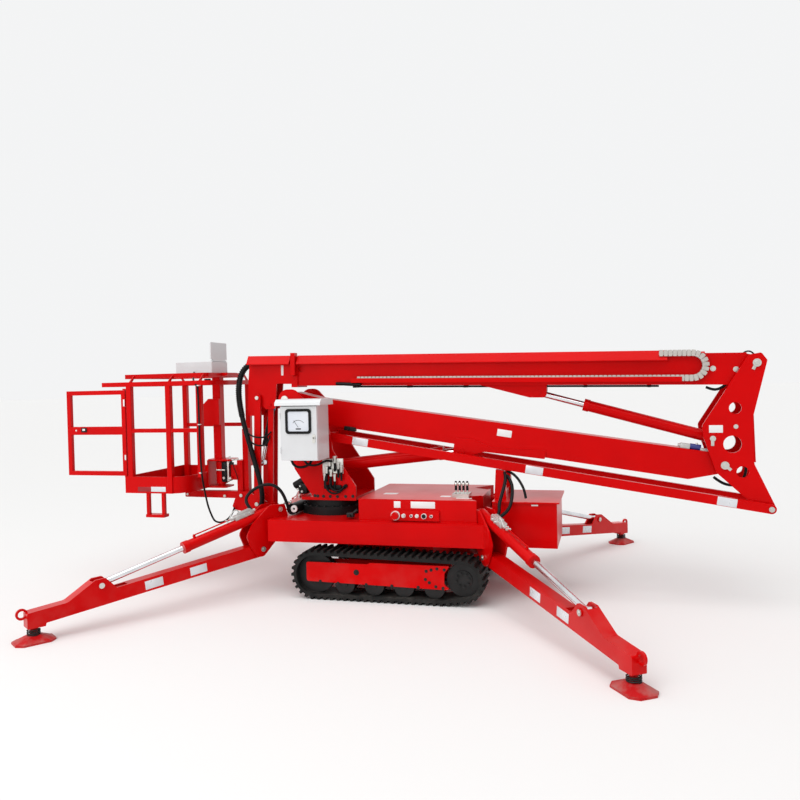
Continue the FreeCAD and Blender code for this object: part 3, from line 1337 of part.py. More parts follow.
def boomCylinders():
    base = (size["liftBaseX"], size["liftBaseZ"])
    eye = (size["liftEyeX"], size["liftEyeZ"])
    sizes = (size["liftBarrel"], size["liftRod"], size["liftPin"], size["liftBarrelLength"])
    cylinder("lift", base, eye, sizes, 70, 90, 86)
    base = (size["upperBaseX"], size["upperBaseZ"])
    eye = (size["upperEyeX"], size["upperEyeZ"])
    sizes = (size["upperBarrel"], size["upperRod"], size["upperEyePin"], size["upperBarrelLength"])
    cylinder("upper", base, eye, sizes, 70, 66, 38)
    share = size["jibEyeShare"]
    eye = (jibPin[0] + size["jibDX"] * share, jibPin[1] + size["jibDZ"] * share)
    sizes = (size["jibBarrel"], size["jibRod"], size["jibPinRadius"], size["jibBarrelLength"])
    cylinder("jib", jibLinkPin, eye, sizes, 60, 60, 80)


chassisFrame()
powerCover()
controlPanel()
leverBank()
frontBox()
boomRest()
for side, name in ((-1, "right"), (1, "left")):
    track(side, name)
    trackFrame(side, name)
    trackWheels(side, name)
lowerCross()
slewBase()
turret()
cabinetBox()
cabinetDoor()
lowerBoom()
linkBars()
knuckle()
upperBoom()
cableTray()
dragChain()
telescope()
jibBars()
jibLink()
rocker()
platformSupport()
basket()
gate()
controlBox()
controlLid()
basketStep()
for corner in CORNERS:
    leg(*corner)
    foot(*corner)
    legCylinder(*corner)
boomCylinders()

doc.recompute()
faults = [o.Name for o in doc.Objects if {"Invalid", "Error"} & set(o.State)]
if faults:
    raise SystemExit("failed: " + ", ".join(faults))
broken = [item.Label for item in pieces if item.Shape.isNull() or not item.Shape.isValid()]
if broken:
    raise SystemExit("bad shape: " + ", ".join(broken))

whole = Part.makeCompound([item.Shape for item in pieces]).BoundBox
print("box", [round(v, 1) for v in (whole.XMin, whole.XMax, whole.YMin, whole.YMax, whole.ZMin, whole.ZMax)])
os.makedirs("parts", exist_ok=True)
for item in pieces:
    item.Shape.exportStep(f"parts/{item.Label}.step")
    print(item.Label, len(item.Shape.Solids), round(item.Shape.Volume / 1e6, 2), "litres")
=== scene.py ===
import math

import bmesh
import bpy
from mathutils import Matrix, Vector


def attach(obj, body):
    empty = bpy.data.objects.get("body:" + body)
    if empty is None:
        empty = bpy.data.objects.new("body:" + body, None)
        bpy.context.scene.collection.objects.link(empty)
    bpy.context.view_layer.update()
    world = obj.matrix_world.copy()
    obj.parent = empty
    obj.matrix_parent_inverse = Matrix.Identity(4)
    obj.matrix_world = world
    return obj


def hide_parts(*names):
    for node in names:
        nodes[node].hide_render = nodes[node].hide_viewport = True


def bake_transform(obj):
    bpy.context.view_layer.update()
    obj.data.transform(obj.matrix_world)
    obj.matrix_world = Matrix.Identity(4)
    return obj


# Tracked boom lift with its booms folded and its four outriggers on the ground.
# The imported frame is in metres: +X is the front, -Y the right-hand side, +Z up.
# Pieces are measured in millimetres.

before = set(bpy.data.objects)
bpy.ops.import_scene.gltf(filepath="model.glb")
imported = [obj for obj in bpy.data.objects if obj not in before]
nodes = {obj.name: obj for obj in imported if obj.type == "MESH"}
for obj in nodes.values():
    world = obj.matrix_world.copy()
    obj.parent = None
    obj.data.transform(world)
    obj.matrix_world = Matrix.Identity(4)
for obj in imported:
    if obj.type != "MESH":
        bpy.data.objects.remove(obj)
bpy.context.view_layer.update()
print("frame loaded,", len(nodes), "nodes")


# View

cameraView = {
    "place": (1.8108, -6.4297, 1.76),
    "turnLeft": 15.362,
    "lookDown": 1.187,
    "lean": 1.311,
    "focalPixels": 754.66,
    "picturePixels": 800,
    "sensor": 36.0,
    "clip": (0.05, 200),
}


def addObject(name, data):
    item = bpy.data.objects.new(name, data)
    bpy.context.scene.collection.objects.link(item)
    return item


def makeCamera(view):
    data = bpy.data.cameras.new("camera")
    data.sensor_width = view["sensor"]
    data.lens = view["focalPixels"] / view["picturePixels"] * view["sensor"]
    data.clip_start, data.clip_end = view["clip"]
    camera = addObject("camera", data)
    turned = Matrix.Rotation(math.radians(view["turnLeft"]), 4, "Z")
    tipped = Matrix.Rotation(math.radians(90 - view["lookDown"]), 4, "X")
    leaned = Matrix.Rotation(math.radians(-view["lean"]), 4, "Z")
    camera.matrix_world = Matrix.Translation(view["place"]) @ turned @ tipped @ leaned
    bpy.context.scene.camera = camera


makeCamera(cameraView)
bpy.context.scene.view_settings.view_transform = "Standard"


# Shader maths on sockets

class Wire:
    # a socket of a node tree, with Python's operators on it
    def __init__(self, tree, socket):
        self.tree = tree
        self.socket = socket

    def maths(self, operation, *others):
        node = self.tree.nodes.new("ShaderNodeMath")
        node.operation = operation
        for slot, value in zip(node.inputs, (self, *others)):
            plug(self.tree, slot, value)
        return Wire(self.tree, node.outputs[0])

    def __add__(self, other):
        return self.maths("ADD", other)

    def __sub__(self, other):
        return self.maths("SUBTRACT", other)

    def __rsub__(self, other):
        return (self * -1.0).maths("ADD", other)

    def __mul__(self, other):
        return self.maths("MULTIPLY", other)

    def clipped(self):
        return self.maths("MAXIMUM", 0.0).maths("MINIMUM", 1.0)


def plug(tree, slot, value):
    if isinstance(value, Wire):
        tree.links.new(value.socket, slot)
    elif isinstance(value, (list, tuple)) and value and isinstance(value[0], Wire):
        for item in value:
            tree.links.new(item.socket, slot)
    elif hasattr(slot.default_value, "__len__") and not hasattr(value, "__len__"):
        slot.default_value = [value] * len(slot.default_value)
    elif hasattr(value, "__len__") and len(slot.default_value) == 4 and len(value) == 3:
        slot.default_value = (*value, 1.0)
    else:
        slot.default_value = value


def addNode(tree, kind, settings, out, values):
    made = tree.nodes.new(kind)
    for key, value in (settings or {}).items():
        setattr(made, key, value)
    for key, value in values.items():
        plug(tree, made.inputs[key.replace("_", " ")], value)
    return Wire(tree, made.outputs[out])


class Finish:
    # one material and the nodes that it is made of
    def __init__(self, name):
        self.material = bpy.data.materials.new(name)
        self.material.use_nodes = True
        self.tree = self.material.node_tree
        self.shader = self.tree.nodes["Principled BSDF"]
        self.place = self.node("ShaderNodeTexCoord", out="Object")

    def node(self, kind, settings=None, out=0, **values):
        return addNode(self.tree, kind, settings, out, values)

    def noise(self, scale, detail=4.0, roughness=0.55):
        values = {"Scale": scale, "Detail": detail, "Roughness": roughness}
        return self.node("ShaderNodeTexNoise", Vector=self.place, **values)

    def part(self, axis):
        return self.node("ShaderNodeSeparateXYZ", out=axis, Vector=self.place)

    def facing(self, axis):
        geometry = self.node("ShaderNodeNewGeometry", out="Normal")
        return self.node("ShaderNodeSeparateXYZ", out=axis, Vector=geometry)

    def range(self, value, low, high, start=0.0, end=1.0):
        limits = {"From_Min": low, "From_Max": high, "To_Min": start, "To_Max": end}
        return self.node("ShaderNodeMapRange", Value=value, **limits)

    def blend(self, factor, first, second):
        made = self.tree.nodes.new("ShaderNodeMix")
        made.data_type = "RGBA"
        plug(self.tree, made.inputs["Factor"], factor)
        plug(self.tree, made.inputs[6], first)
        plug(self.tree, made.inputs[7], second)
        return Wire(self.tree, made.outputs[2])

    def bump(self, height, strength, distance):
        return self.node("ShaderNodeBump", Height=height, Strength=strength, Distance=distance)

    def set(self, **values):
        for key, value in values.items():
            plug(self.tree, self.shader.inputs[key.replace("_", " ")], value)
        return self.material


def dust(finish, settings):
    # grey dust that thins out with height and lies on what faces up
    low = finish.range(finish.part("Z"), 0.0, settings["dustReach"], 1.0, 0.0)
    patches = finish.range(finish.noise(scale=9.0, detail=6.0), 0.42, 0.68)
    flat = finish.range(finish.facing("Z"), 0.5, 1.0, 0.35, 1.0)
    return (low * patches * flat * settings["dust"]).clipped()


def scaled(colour, factor):
    return [c * factor for c in colour]


paintLook = {
    # what each paint has unless it says otherwise
    "wear": 0.35, "coat": 0.2, "peel": 0.3, "dust": 0.0, "dustReach": 1.0, "dustColour": (0.36, 0.33, 0.30),
    "shine": 0.5, "tint": (1.0, 1.0, 1.0), "roughSpread": 0.08, "dustRough": 0.5, "wornRough": 0.2,
}


def makePaint(name, changes):
    settings = {**paintLook, **changes}
    finish = Finish(name)
    cloud = finish.noise(scale=2.6, detail=5.0)
    speck = finish.noise(scale=120.0, detail=2.0)
    worn = finish.range(finish.noise(scale=34.0, detail=8.0, roughness=0.7), 0.70, 0.78)
    rough = settings["rough"]
    body = finish.blend(finish.range(cloud, 0.3, 0.7), settings["colour"], settings["shade"])
    dusty = dust(finish, settings)
    scuffed = finish.blend(worn * settings["wear"], body, settings["scuff"])
    gloss = finish.range(cloud, 0.3, 0.7, rough, rough + settings["roughSpread"])
    return finish.set(
        Base_Color=finish.blend(dusty, scuffed, settings["dustColour"]),
        Roughness=gloss + dusty * settings["dustRough"] + worn * settings["wornRough"],
        Coat_Weight=(1.0 - dusty) * settings["coat"],
        Coat_Roughness=0.08,
        Specular_IOR_Level=settings["shine"],
        Specular_Tint=settings["tint"],
        Normal=finish.bump(speck + finish.noise(scale=14.0) * 2.0, settings["peel"], distance=0.0006),
    )


redPaint = makePaint("redPaint", {
    "colour": (0.60, 0.0006, 0.0012), "shade": (0.52, 0.0006, 0.0012), "scuff": (0.36, 0.01, 0.012),
    "rough": 0.28, "coat": 0.04, "peel": 0.25, "dust": 0.22, "dustReach": 0.4, "tint": (1.0, 0.1, 0.1),
})
footPaint = makePaint("footPaint", {
    "colour": (0.52, 0.004, 0.006), "shade": (0.40, 0.006, 0.008), "scuff": (0.24, 0.17, 0.14), "wear": 0.8,
    "rough": 0.40, "coat": 0.04, "peel": 0.35, "dust": 0.6, "dustReach": 0.15, "shine": 0.3,
    "tint": (1.0, 0.3, 0.3),
})
blackPaint = makePaint("blackPaint", {
    "colour": (0.006, 0.006, 0.007), "shade": (0.010, 0.010, 0.010), "scuff": (0.05, 0.05, 0.05), "wear": 0.5,
    "rough": 0.38, "coat": 0.05, "peel": 0.4, "dust": 0.08, "dustReach": 0.9, "shine": 0.15,
})
whitePaint = makePaint("whitePaint", {
    "colour": (0.66, 0.67, 0.68), "shade": (0.60, 0.61, 0.62), "scuff": (0.42, 0.41, 0.40), "rough": 0.36,
    "dust": 0.1, "dustReach": 1.2,
})
greyChain = makePaint("greyChain", {
    "colour": (0.53, 0.50, 0.46), "shade": (0.43, 0.40, 0.37), "scuff": (0.22, 0.21, 0.20), "wear": 0.6,
    "rough": 0.5, "coat": 0.0,
})
labelWhite = makePaint("labelWhite", {
    "colour": (0.80, 0.80, 0.79), "shade": (0.74, 0.74, 0.74), "scuff": (0.55, 0.54, 0.52), "wear": 0.3,
    "rough": 0.4, "peel": 0.1, "dust": 0.15, "dustReach": 0.6,
})
bluePaint = makePaint("bluePaint", {
    "colour": (0.012, 0.03, 0.24), "shade": (0.01, 0.02, 0.16), "scuff": (0.2, 0.2, 0.22), "wear": 0.4,
    "rough": 0.35, "peel": 0.2,
})


def makeTape(name, colour):
    # reflective tape: small cells that catch the light one by one
    finish = Finish(name)
    cells = finish.node("ShaderNodeTexVoronoi", Vector=finish.place, Scale=260.0)
    patches = finish.range(finish.noise(scale=11.0, detail=5.0), 0.35, 0.75)
    return finish.set(
        Base_Color=finish.blend(patches * 0.5, colour, scaled(colour, 0.72)), Metallic=0.15,
        Roughness=finish.range(patches, 0.0, 1.0, 0.25, 0.42),
        Normal=finish.bump(cells, strength=0.3, distance=0.0005),
    )


whiteTape = makeTape("whiteTape", (0.72, 0.74, 0.77))
redTape = makeTape("redTape", (0.33, 0.008, 0.012))


def makeRubber(name, settings):
    finish = Finish(name)
    grain = finish.noise(scale=180.0, detail=3.0)
    cloud = finish.noise(scale=5.0, detail=5.0)
    colour, rough = settings["colour"], settings["rough"]
    body = finish.blend(finish.range(cloud, 0.35, 0.7), colour, scaled(colour, 1.6))
    return finish.set(
        Base_Color=finish.blend(dust(finish, settings), body, (0.30, 0.27, 0.24)),
        Roughness=finish.range(cloud, 0.3, 0.7, rough, rough + 0.12),
        Specular_IOR_Level=0.16,
        Normal=finish.bump(grain, strength=0.35, distance=0.0008),
    )


trackRubber = makeRubber("trackRubber", {
    "colour": (0.007, 0.007, 0.007), "rough": 0.58, "dust": 0.22, "dustReach": 0.5,
})
hoseRubber = makeRubber("hoseRubber", {
    "colour": (0.003, 0.003, 0.0035), "rough": 0.36, "dust": 0.03, "dustReach": 0.8,
})


def makeMetal(name, colour, rough, spread, metal=1.0):
    finish = Finish(name)
    stretched = finish.node("ShaderNodeMapping", Vector=finish.place, Scale=(4.0, 4.0, 90.0))
    brushed = finish.node("ShaderNodeTexNoise", Vector=stretched, Scale=6.0, Detail=4.0)
    stain = finish.noise(scale=7.0, detail=6.0)
    return finish.set(
        Base_Color=finish.blend(finish.range(stain, 0.4, 0.75), colour, scaled(colour, 0.72)), Metallic=metal,
        Roughness=finish.range(stain, 0.3, 0.7, rough, rough + spread),
        Normal=finish.bump(brushed, strength=0.12, distance=0.0004),
    )


chromeRod = makeMetal("chromeRod", (0.80, 0.81, 0.83), 0.12, 0.10)
zincSteel = makeMetal("zincSteel", (0.66, 0.65, 0.61), 0.28, 0.15)
darkSteel = makeMetal("darkSteel", (0.022, 0.021, 0.021), 0.40, 0.2, 0.6)
castBlock = makeMetal("castBlock", (0.62, 0.62, 0.60), 0.42, 0.18, 0.7)


def makePane(name, colour, shade):
    finish = Finish(name)
    sheen = finish.range(finish.noise(scale=6.0, detail=3.0), 0.3, 0.7, 0.08, 0.16)
    cloud = finish.range(finish.noise(scale=3.0, detail=3.0), 0.35, 0.65)
    body = finish.blend(cloud, colour, shade)
    return finish.set(Base_Color=body, Roughness=sheen, Coat_Weight=0.6, Coat_Roughness=0.03)


meterPane = makePane("meterPane", (0.68, 0.71, 0.76), (0.56, 0.60, 0.68))


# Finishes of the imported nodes

nodeFinish = {
    "slew_base": blackPaint, "jib_barrel": blackPaint, "lever_bank": zincSteel, "drag_chain": greyChain,
    "control_cabinet": whitePaint, "cabinet_door": whitePaint, "control_box": whitePaint,
    "control_lid": whitePaint,
}
nameFinish = [
    # the first words that a name holds decide; what is left is red
    ("track_wheels", darkSteel), ("track_frame", redPaint), ("track_", trackRubber),
    ("outrigger_pad", footPaint), ("_rod", chromeRod),
]


def finishOf(name):
    if name in nodeFinish:
        return nodeFinish[name]
    for words, material in nameFinish:
        if words in name:
            return material
    return redPaint


for name, item in nodes.items():
    item.data.materials.clear()
    item.data.materials.append(finishOf(name))
print("nodes finished")


# Frames of the tilted pieces, and a builder for small shapes

def frameAt(x, y, z, turned=0.0, tilted=0.0):
    # a piece's own frame in millimetres: turned about Z, then its nose raised
    spin = Matrix.Rotation(math.radians(turned), 4, "Z")
    tip = Matrix.Rotation(math.radians(-tilted), 4, "Y")
    return Matrix.Translation((x, y, z)) @ spin @ tip


# tilts of the stowed booms, and the places of the legs' hinges and of their cylinders' upper pins
upperTilt, lowerTilt = 1.1, -9.022
legPlace = {
    "middle": -100, "along": 1008, "across": 512, "azimuth": 55.7, "pin": (-178, 0, 701), "tilt": -13.99,
}

machine = Matrix.Identity(4)
upperFrame = frameAt(2915, 0, 1864, 180, upperTilt)
lowerFrame = frameAt(-930, 0, 1650, 0, lowerTilt)
linkFrame = frameAt(-613, 0, 1323, 0, lowerTilt)
hands = {-1: "right", 1: "left"}  # the sign of y on each side of the machine
corners = {
    "front_right": (1, -1), "front_left": (1, 1), "rear_right": (-1, -1), "rear_left": (-1, 1),
}


def legFrame(corner, sizes=legPlace):
    along, across = corners[corner]
    azimuth = sizes["azimuth"] if along > 0 else 180 - sizes["azimuth"]
    return frameAt(sizes["middle"] + along * sizes["along"], across * sizes["across"], 0, across * azimuth)


def legCylinderFrame(corner):
    return legFrame(corner) @ frameAt(*legPlace["pin"], 0, legPlace["tilt"])


def onCircle(middle, radius, degrees):
    turned = [math.radians(angle) for angle in degrees]
    return [(middle[0] + radius * math.cos(a), middle[1] + radius * math.sin(a)) for a in turned]


def around(count, start=0):
    return [360 / count * i + start for i in range(count)]


def turnTo(direction):
    return Vector(direction).to_track_quat("Z", "Y").to_matrix().to_4x4()


plateSizes = {"thickness": 1.2, "rounded": 0.4}


class Shape:
    # a mesh in the making, in millimetres of its own frame
    def __init__(self, place=machine):
        self.mesh = bmesh.new()
        self.place = place

    def box(self, low, high, rounded=0.0, turned=None):
        size = [b - a for a, b in zip(low, high)]
        middle = [(a + b) / 2 for a, b in zip(low, high)]
        where = Matrix.Translation(middle) @ (turned or machine) @ Matrix.Diagonal((*size, 1))
        made = bmesh.ops.create_cube(self.mesh, size=1.0, matrix=where)["verts"]
        if rounded:
            edges = list({edge for vertex in made for edge in vertex.link_edges})
            bmesh.ops.bevel(self.mesh, geom=edges, offset=rounded, segments=2, affect="EDGES", profile=0.5)
        return self

    def plate(self, low, high, face, turned=None):
        # a thin plate on an upright face that looks to the right (face below zero) or the left
        near, far = sorted((face, face + math.copysign(plateSizes["thickness"], face)))
        return self.box((low[0], near, low[1]), (high[0], far, high[1]), plateSizes["rounded"], turned)

    def rod(self, start, end, radius, tip=None, sides=20):
        start, end = Vector(start), Vector(end)
        where = Matrix.Translation((start + end) / 2) @ turnTo(end - start)
        bmesh.ops.create_cone(
            self.mesh, cap_ends=True, cap_tris=False, segments=sides, radius1=radius,
            radius2=radius if tip is None else tip, depth=(end - start).length, matrix=where,
        )
        return self

    def nut(self, start, end, radius):
        return self.rod(start, end, radius, sides=6)

    def ball(self, middle, radius):
        where = Matrix.Translation(middle)
        bmesh.ops.create_uvsphere(self.mesh, u_segments=14, v_segments=8, radius=radius, matrix=where)
        return self

    def ring(self, start, end, outer, inner):
        start, end = Vector(start), Vector(end)
        turned = Matrix.Translation(start) @ turnTo(end - start)
        depth = (end - start).length
        rows = []
        for radius, level in ((inner, 0), (outer, 0), (outer, depth), (inner, depth)):
            places = [turned @ Vector((*spot, level)) for spot in onCircle((0, 0), radius, around(28))]
            rows.append([self.mesh.verts.new(place) for place in places])
        joinRows(self.mesh, rows + rows[:1])
        return self

    def rim(self, outer, inner, near, far):
        # a frame between two outlines of the side view, with the same number of points
        levels = ((inner, near), (outer, near), (outer, far), (inner, far))
        rows = [[self.mesh.verts.new((x, y, z)) for x, z in spots] for spots, y in levels]
        joinRows(self.mesh, rows + rows[:1])
        return self

    def sheet(self, outline, near, far):
        # an outline of the side view (x, z), solid between two values of y
        rows = [[self.mesh.verts.new((x, y, z)) for x, z in outline] for y in (near, far)]
        self.mesh.faces.new(rows[0])
        self.mesh.faces.new(rows[1][::-1])
        joinRows(self.mesh, rows[::-1])
        return self

    def tube(self, line, radius, sides):
        sweep(self.mesh, [Vector(point) for point in line], radius, sides)
        return self

    def pipe(self, points, radius):
        return self.tube(smoothPath(points), radius, 10)

    def piece(self, name, body, finish, bend=None):
        bmesh.ops.recalc_face_normals(self.mesh, faces=self.mesh.faces)
        bmesh.ops.transform(self.mesh, matrix=Matrix.Scale(0.001, 4) @ self.place, verts=self.mesh.verts)
        mesh = bpy.data.meshes.new(name)
        self.mesh.to_mesh(mesh)
        self.mesh.free()
        mesh.shade_smooth()
        mesh.set_sharp_from_angle(angle=math.radians(32))
        return addPiece(name, mesh, body, finish, bend=bend)


def joinRows(mesh, rows):
    # faces between each closed row of vertices and the next
    for first, second in zip(rows, rows[1:]):
        for i in range(len(first)):
            j = (i + 1) % len(first)
            mesh.faces.new((first[i], first[j], second[j], second[i]))


def addPiece(name, mesh, body, finish, replaced=(), bend=None):
    mesh.materials.clear()
    mesh.materials.append(finish)
    item = addObject(name, mesh)
    if bend:
        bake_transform(item)
    else:
        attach(item, body)
    if replaced:
        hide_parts(*replaced)
    return item


def fitPieces(pieces, place=machine):
    # a piece has its body, finish and forms, and each form its kind and what that maker of Shape takes
    for name, (body, finish, forms) in pieces.items():
        shape = Shape(place)
        for kind, *measures in forms.values():
            getattr(shape, kind)(*measures)
        shape.piece(name, body, finish)


def smoothPath(points, steps=8):
    # a round line through all the points
    points = [Vector(point) for point in points]
    ends = [points[0] * 2 - points[1]] + points + [points[-1] * 2 - points[-2]]
    line = []
    for i in range(1, len(ends) - 2):
        before, here, there, after = ends[i - 1:i + 3]
        rise = there - before
        bend = 2 * before - 5 * here + 4 * there - after
        twist = 3 * here - before - 3 * there + after
        for step in range(steps):
            t = step / steps
            line.append(0.5 * (2 * here + rise * t + bend * t ** 2 + twist * t ** 3))
    return line + [points[-1]]


def sweep(mesh, line, radius, sides):
    # a closed tube along a line of points
    spots = onCircle((0, 0), radius, around(sides))
    ahead = (line[1] - line[0]).normalized()
    across = ahead.orthogonal().normalized()
    rows = []
    for i, point in enumerate(line):
        before, after = line[max(i - 1, 0)], line[min(i + 1, len(line) - 1)]
        turned = (after - before).normalized()
        across = (ahead.rotation_difference(turned) @ across).normalized()
        ahead = turned
        other = ahead.cross(across)
        rows.append([mesh.verts.new(point + across * x + other * y) for x, y in spots])
    joinRows(mesh, rows)
    mesh.faces.new(rows[0][::-1])
    mesh.faces.new(rows[-1])


# Geometry Nodes for what repeats

class Growth:
    # a geometry nodes tree with named inputs
    def __init__(self, name, inputs):
        self.tree = bpy.data.node_groups.new(name, "GeometryNodeTree")
        newSocket = self.tree.interface.new_socket
        newSocket("Geometry", in_out="OUTPUT", socket_type="NodeSocketGeometry")
        newSocket("Geometry", in_out="INPUT", socket_type="NodeSocketGeometry")
        self.keys = {}
        for label, value in inputs.items():
            kind = "NodeSocketFloat" if isinstance(value, float) else "NodeSocketMaterial"
            self.keys[label] = newSocket(label, in_out="INPUT", socket_type=kind).identifier
        self.inputs = inputs
        self.start = self.tree.nodes.new("NodeGroupInput")
        self.end = self.tree.nodes.new("NodeGroupOutput")

    def input(self, label):
        return Wire(self.tree, self.start.outputs[label])

    def node(self, kind, settings=None, out=0, **values):
        return addNode(self.tree, kind, settings, out, values)

    def cube(self, x, y, z, at):
        size = self.node("ShaderNodeCombineXYZ", X=x, Y=y, Z=z)
        made = self.node("GeometryNodeMeshCube", Size=size)
        spot = self.node("ShaderNodeCombineXYZ", X=at[0], Y=at[1], Z=at[2])
        return self.node("GeometryNodeTransform", Geometry=made, Translation=spot)

    def source(self):
        return Wire(self.tree, self.start.outputs["Geometry"])

    def close(self, points, instance, rotation):
        values = {"Points": points, "Instance": instance, "Rotation": rotation}
        spread = self.node("GeometryNodeInstanceOnPoints", **values)
        return self.finish(self.node("GeometryNodeRealizeInstances", Geometry=spread))

    def finish(self, geometry):
        finished = self.node("GeometryNodeSetMaterial", Geometry=geometry, Material=self.input("Finish"))
        plug(self.tree, self.end.inputs[0], finished)
        return self

    def grow(self, name, source, **values):
        # the tree's result on a mesh, as a plain mesh
        seed = addObject(name + "Seed", source)
        modifier = seed.modifiers.new("growth", "NODES")
        modifier.node_group = self.tree
        for label, value in {**self.inputs, **values}.items():
            modifier[self.keys[label]] = value
        grown = seed.evaluated_get(bpy.context.evaluated_depsgraph_get())
        mesh = bpy.data.meshes.new_from_object(grown)
        bpy.data.objects.remove(seed)
        mesh.name = name
        return mesh


boltLook = {"sides": 6, "washer": 1.45, "washerSides": 14, "washerDepth": 0.0024}


def boltGrowth(look):
    # a washer and a six-sided head on each point, turned to the point's own direction
    made = Growth("boltGrowth", {"Head": 0.009, "Height": 0.007, "Finish": zincSteel})
    radius, height = made.input("Head"), made.input("Height")
    head = made.node("GeometryNodeMeshCylinder", Vertices=look["sides"], Radius=radius, Depth=height)
    lift = made.node("ShaderNodeCombineXYZ", Z=height * 0.5)
    head = made.node("GeometryNodeTransform", Geometry=head, Translation=lift)
    values = {"Radius": radius * look["washer"], "Depth": look["washerDepth"]}
    washer = made.node("GeometryNodeMeshCylinder", Vertices=look["washerSides"], **values)
    both = made.node("GeometryNodeJoinGeometry", Geometry=[head, washer])
    aimed = made.node("GeometryNodeInputNamedAttribute", {"data_type": "FLOAT_VECTOR"}, Name="aim")
    turned = made.node("FunctionNodeAlignRotationToVector", {"axis": "Z"}, Vector=aimed)
    return made.close(made.source(), both, turned)


bolts = boltGrowth(boltLook)


def boltRow(name, body, finish, spots, aims, head, height):
    # spots in millimetres of the machine; the bolts look one way, or each its own
    aims = aims if isinstance(aims, list) else [aims] * len(spots)
    mesh = bpy.data.meshes.new(name)
    mesh.from_pydata([Vector(spot) / 1000 for spot in spots], [], [])
    way = mesh.attributes.new("aim", "FLOAT_VECTOR", "POINT")
    for item, aim in zip(way.data, aims):
        item.vector = aim
    grown = bolts.grow(name, mesh, Head=head / 1000, Height=height / 1000, Finish=finish)
    addPiece(name, grown, body, finish)


chainLook = {
    # along and up in shares of the pitch and the height, thicknesses and insets in metres
    "plate": (0.80, 0.0042, 0.98), "plateInset": 0.0022,
    "tongue": (0.99, 0.0030, 0.62), "tongueInset": 0.0058,
    "pinRadius": 0.14, "pinDepth": 0.0012, "pinInset": 0.0002,
    "bar": (0.36, 0.96, 0.004), "barInset": 0.002,
}


def chainGrowth(look):
    # links of the drag chain, one on each step along the line: side plates, pins and cross bars
    made = Growth("chainGrowth", {"Pitch": 0.044, "Width": 0.0446, "Height": 0.050, "Finish": greyChain})
    pitch, width, height = (made.input(label) for label in ("Pitch", "Width", "Height"))
    line = made.node("GeometryNodeMeshToCurve", Mesh=made.source())
    steps = made.node("GeometryNodeResampleCurve", {"mode": "LENGTH"}, Curve=line, Length=pitch)
    shapes = []
    for side in hands:
        edge = width * (0.5 * side)
        for kind in ("plate", "tongue"):
            long, thick, tall = look[kind]
            inset = edge - look[kind + "Inset"] * side
            shapes.append(made.cube(pitch * long, thick, height * tall, (0.0, inset, 0.0)))
        values = {"Vertices": 10, "Radius": height * look["pinRadius"], "Depth": look["pinDepth"]}
        pin = made.node("GeometryNodeMeshCylinder", **values)
        spot = made.node("ShaderNodeCombineXYZ", X=0.0, Y=edge - look["pinInset"] * side, Z=0.0)
        values = {"Translation": spot, "Rotation": (math.pi / 2, 0, 0)}
        shapes.append(made.node("GeometryNodeTransform", Geometry=pin, **values))
        long, wide, thick = look["bar"]
        level = height * (0.5 * side) - look["barInset"] * side
        shapes.append(made.cube(pitch * long, width * wide, thick, (0.0, 0.0, level)))
    link = made.node("GeometryNodeJoinGeometry", Geometry=shapes)
    tangent = made.node("GeometryNodeInputTangent")
    settings = {"axis": "X", "pivot_axis": "Y"}
    turned = made.node("FunctionNodeAlignRotationToVector", settings, Vector=tangent)
    return made.close(steps, link, turned)


def ribGrowth():
    # a corrugated hose: a tube whose radius waves along its length
    made = Growth("ribGrowth", {"Radius": 0.022, "Rib": 0.0022, "Pitch": 0.011, "Finish": hoseRubber})
    line = made.node("GeometryNodeMeshToCurve", Mesh=made.source())
    step = made.input("Pitch") * 0.25
    steps = made.node("GeometryNodeResampleCurve", {"mode": "LENGTH"}, Curve=line, Length=step)
    along = made.node("GeometryNodeSplineParameter", out="Length")
    wave = (along * 6.2832).maths("DIVIDE", made.input("Pitch")).maths("SINE")
    radius = made.input("Radius") + wave * made.input("Rib")
    ring = made.node("GeometryNodeCurvePrimitiveCircle", Resolution=14, Radius=1.0)
    values = {"Profile_Curve": ring, "Scale": radius, "Fill_Caps": True}
    return made.finish(made.node("GeometryNodeCurveToMesh", Curve=steps, **values))


print("growth trees ready")


# Hoses and cables

def metres(point):
    return tuple(value / 1000 for value in point)


def hoseCurve(name, points, diameter):
    # an open spline in metres, round by its own control points
    data = bpy.data.curves.new(name, "CURVE")
    data.dimensions = "3D"
    data.resolution_u = 8
    spline = data.splines.new("NURBS")
    spline.points.add(len(points) - 1)
    for spot, point in zip(spline.points, points):
        spot.co = (*metres(point), 1.0)
    spline.order_u = 3
    spline.use_endpoint_u = True
    data.bevel_depth = diameter / 2000
    data.bevel_resolution = 3
    data.use_fill_caps = True
    return data


def lineOf(name, points):
    # the points that the spline runs through, from the curve without its thickness
    seed = addObject(name + "Line", hoseCurve(name + "Line", points, 0))
    mesh = bpy.data.meshes.new_from_object(seed.evaluated_get(bpy.context.evaluated_depsgraph_get()))
    line = [vertex.co.copy() for vertex in mesh.vertices]
    bpy.data.objects.remove(seed)
    return line, mesh


def lengthOf(line):
    return sum((b - a).length for a, b in zip(line, line[1:]))


def addCord(item, points, line, diameter):
    metres(points[0])
    lengthOf(line)
    diameter / 1000
    print("hose", item.name, round(lengthOf(line), 3), "m,", diameter, "mm")


def addHose(name, body, points, diameter):
    data = hoseCurve(name, points, diameter)
    data.materials.append(hoseRubber)
    hose = addObject(name, data)
    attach(hose, body)
    addCord(hose, points, lineOf(name, points)[0], diameter)


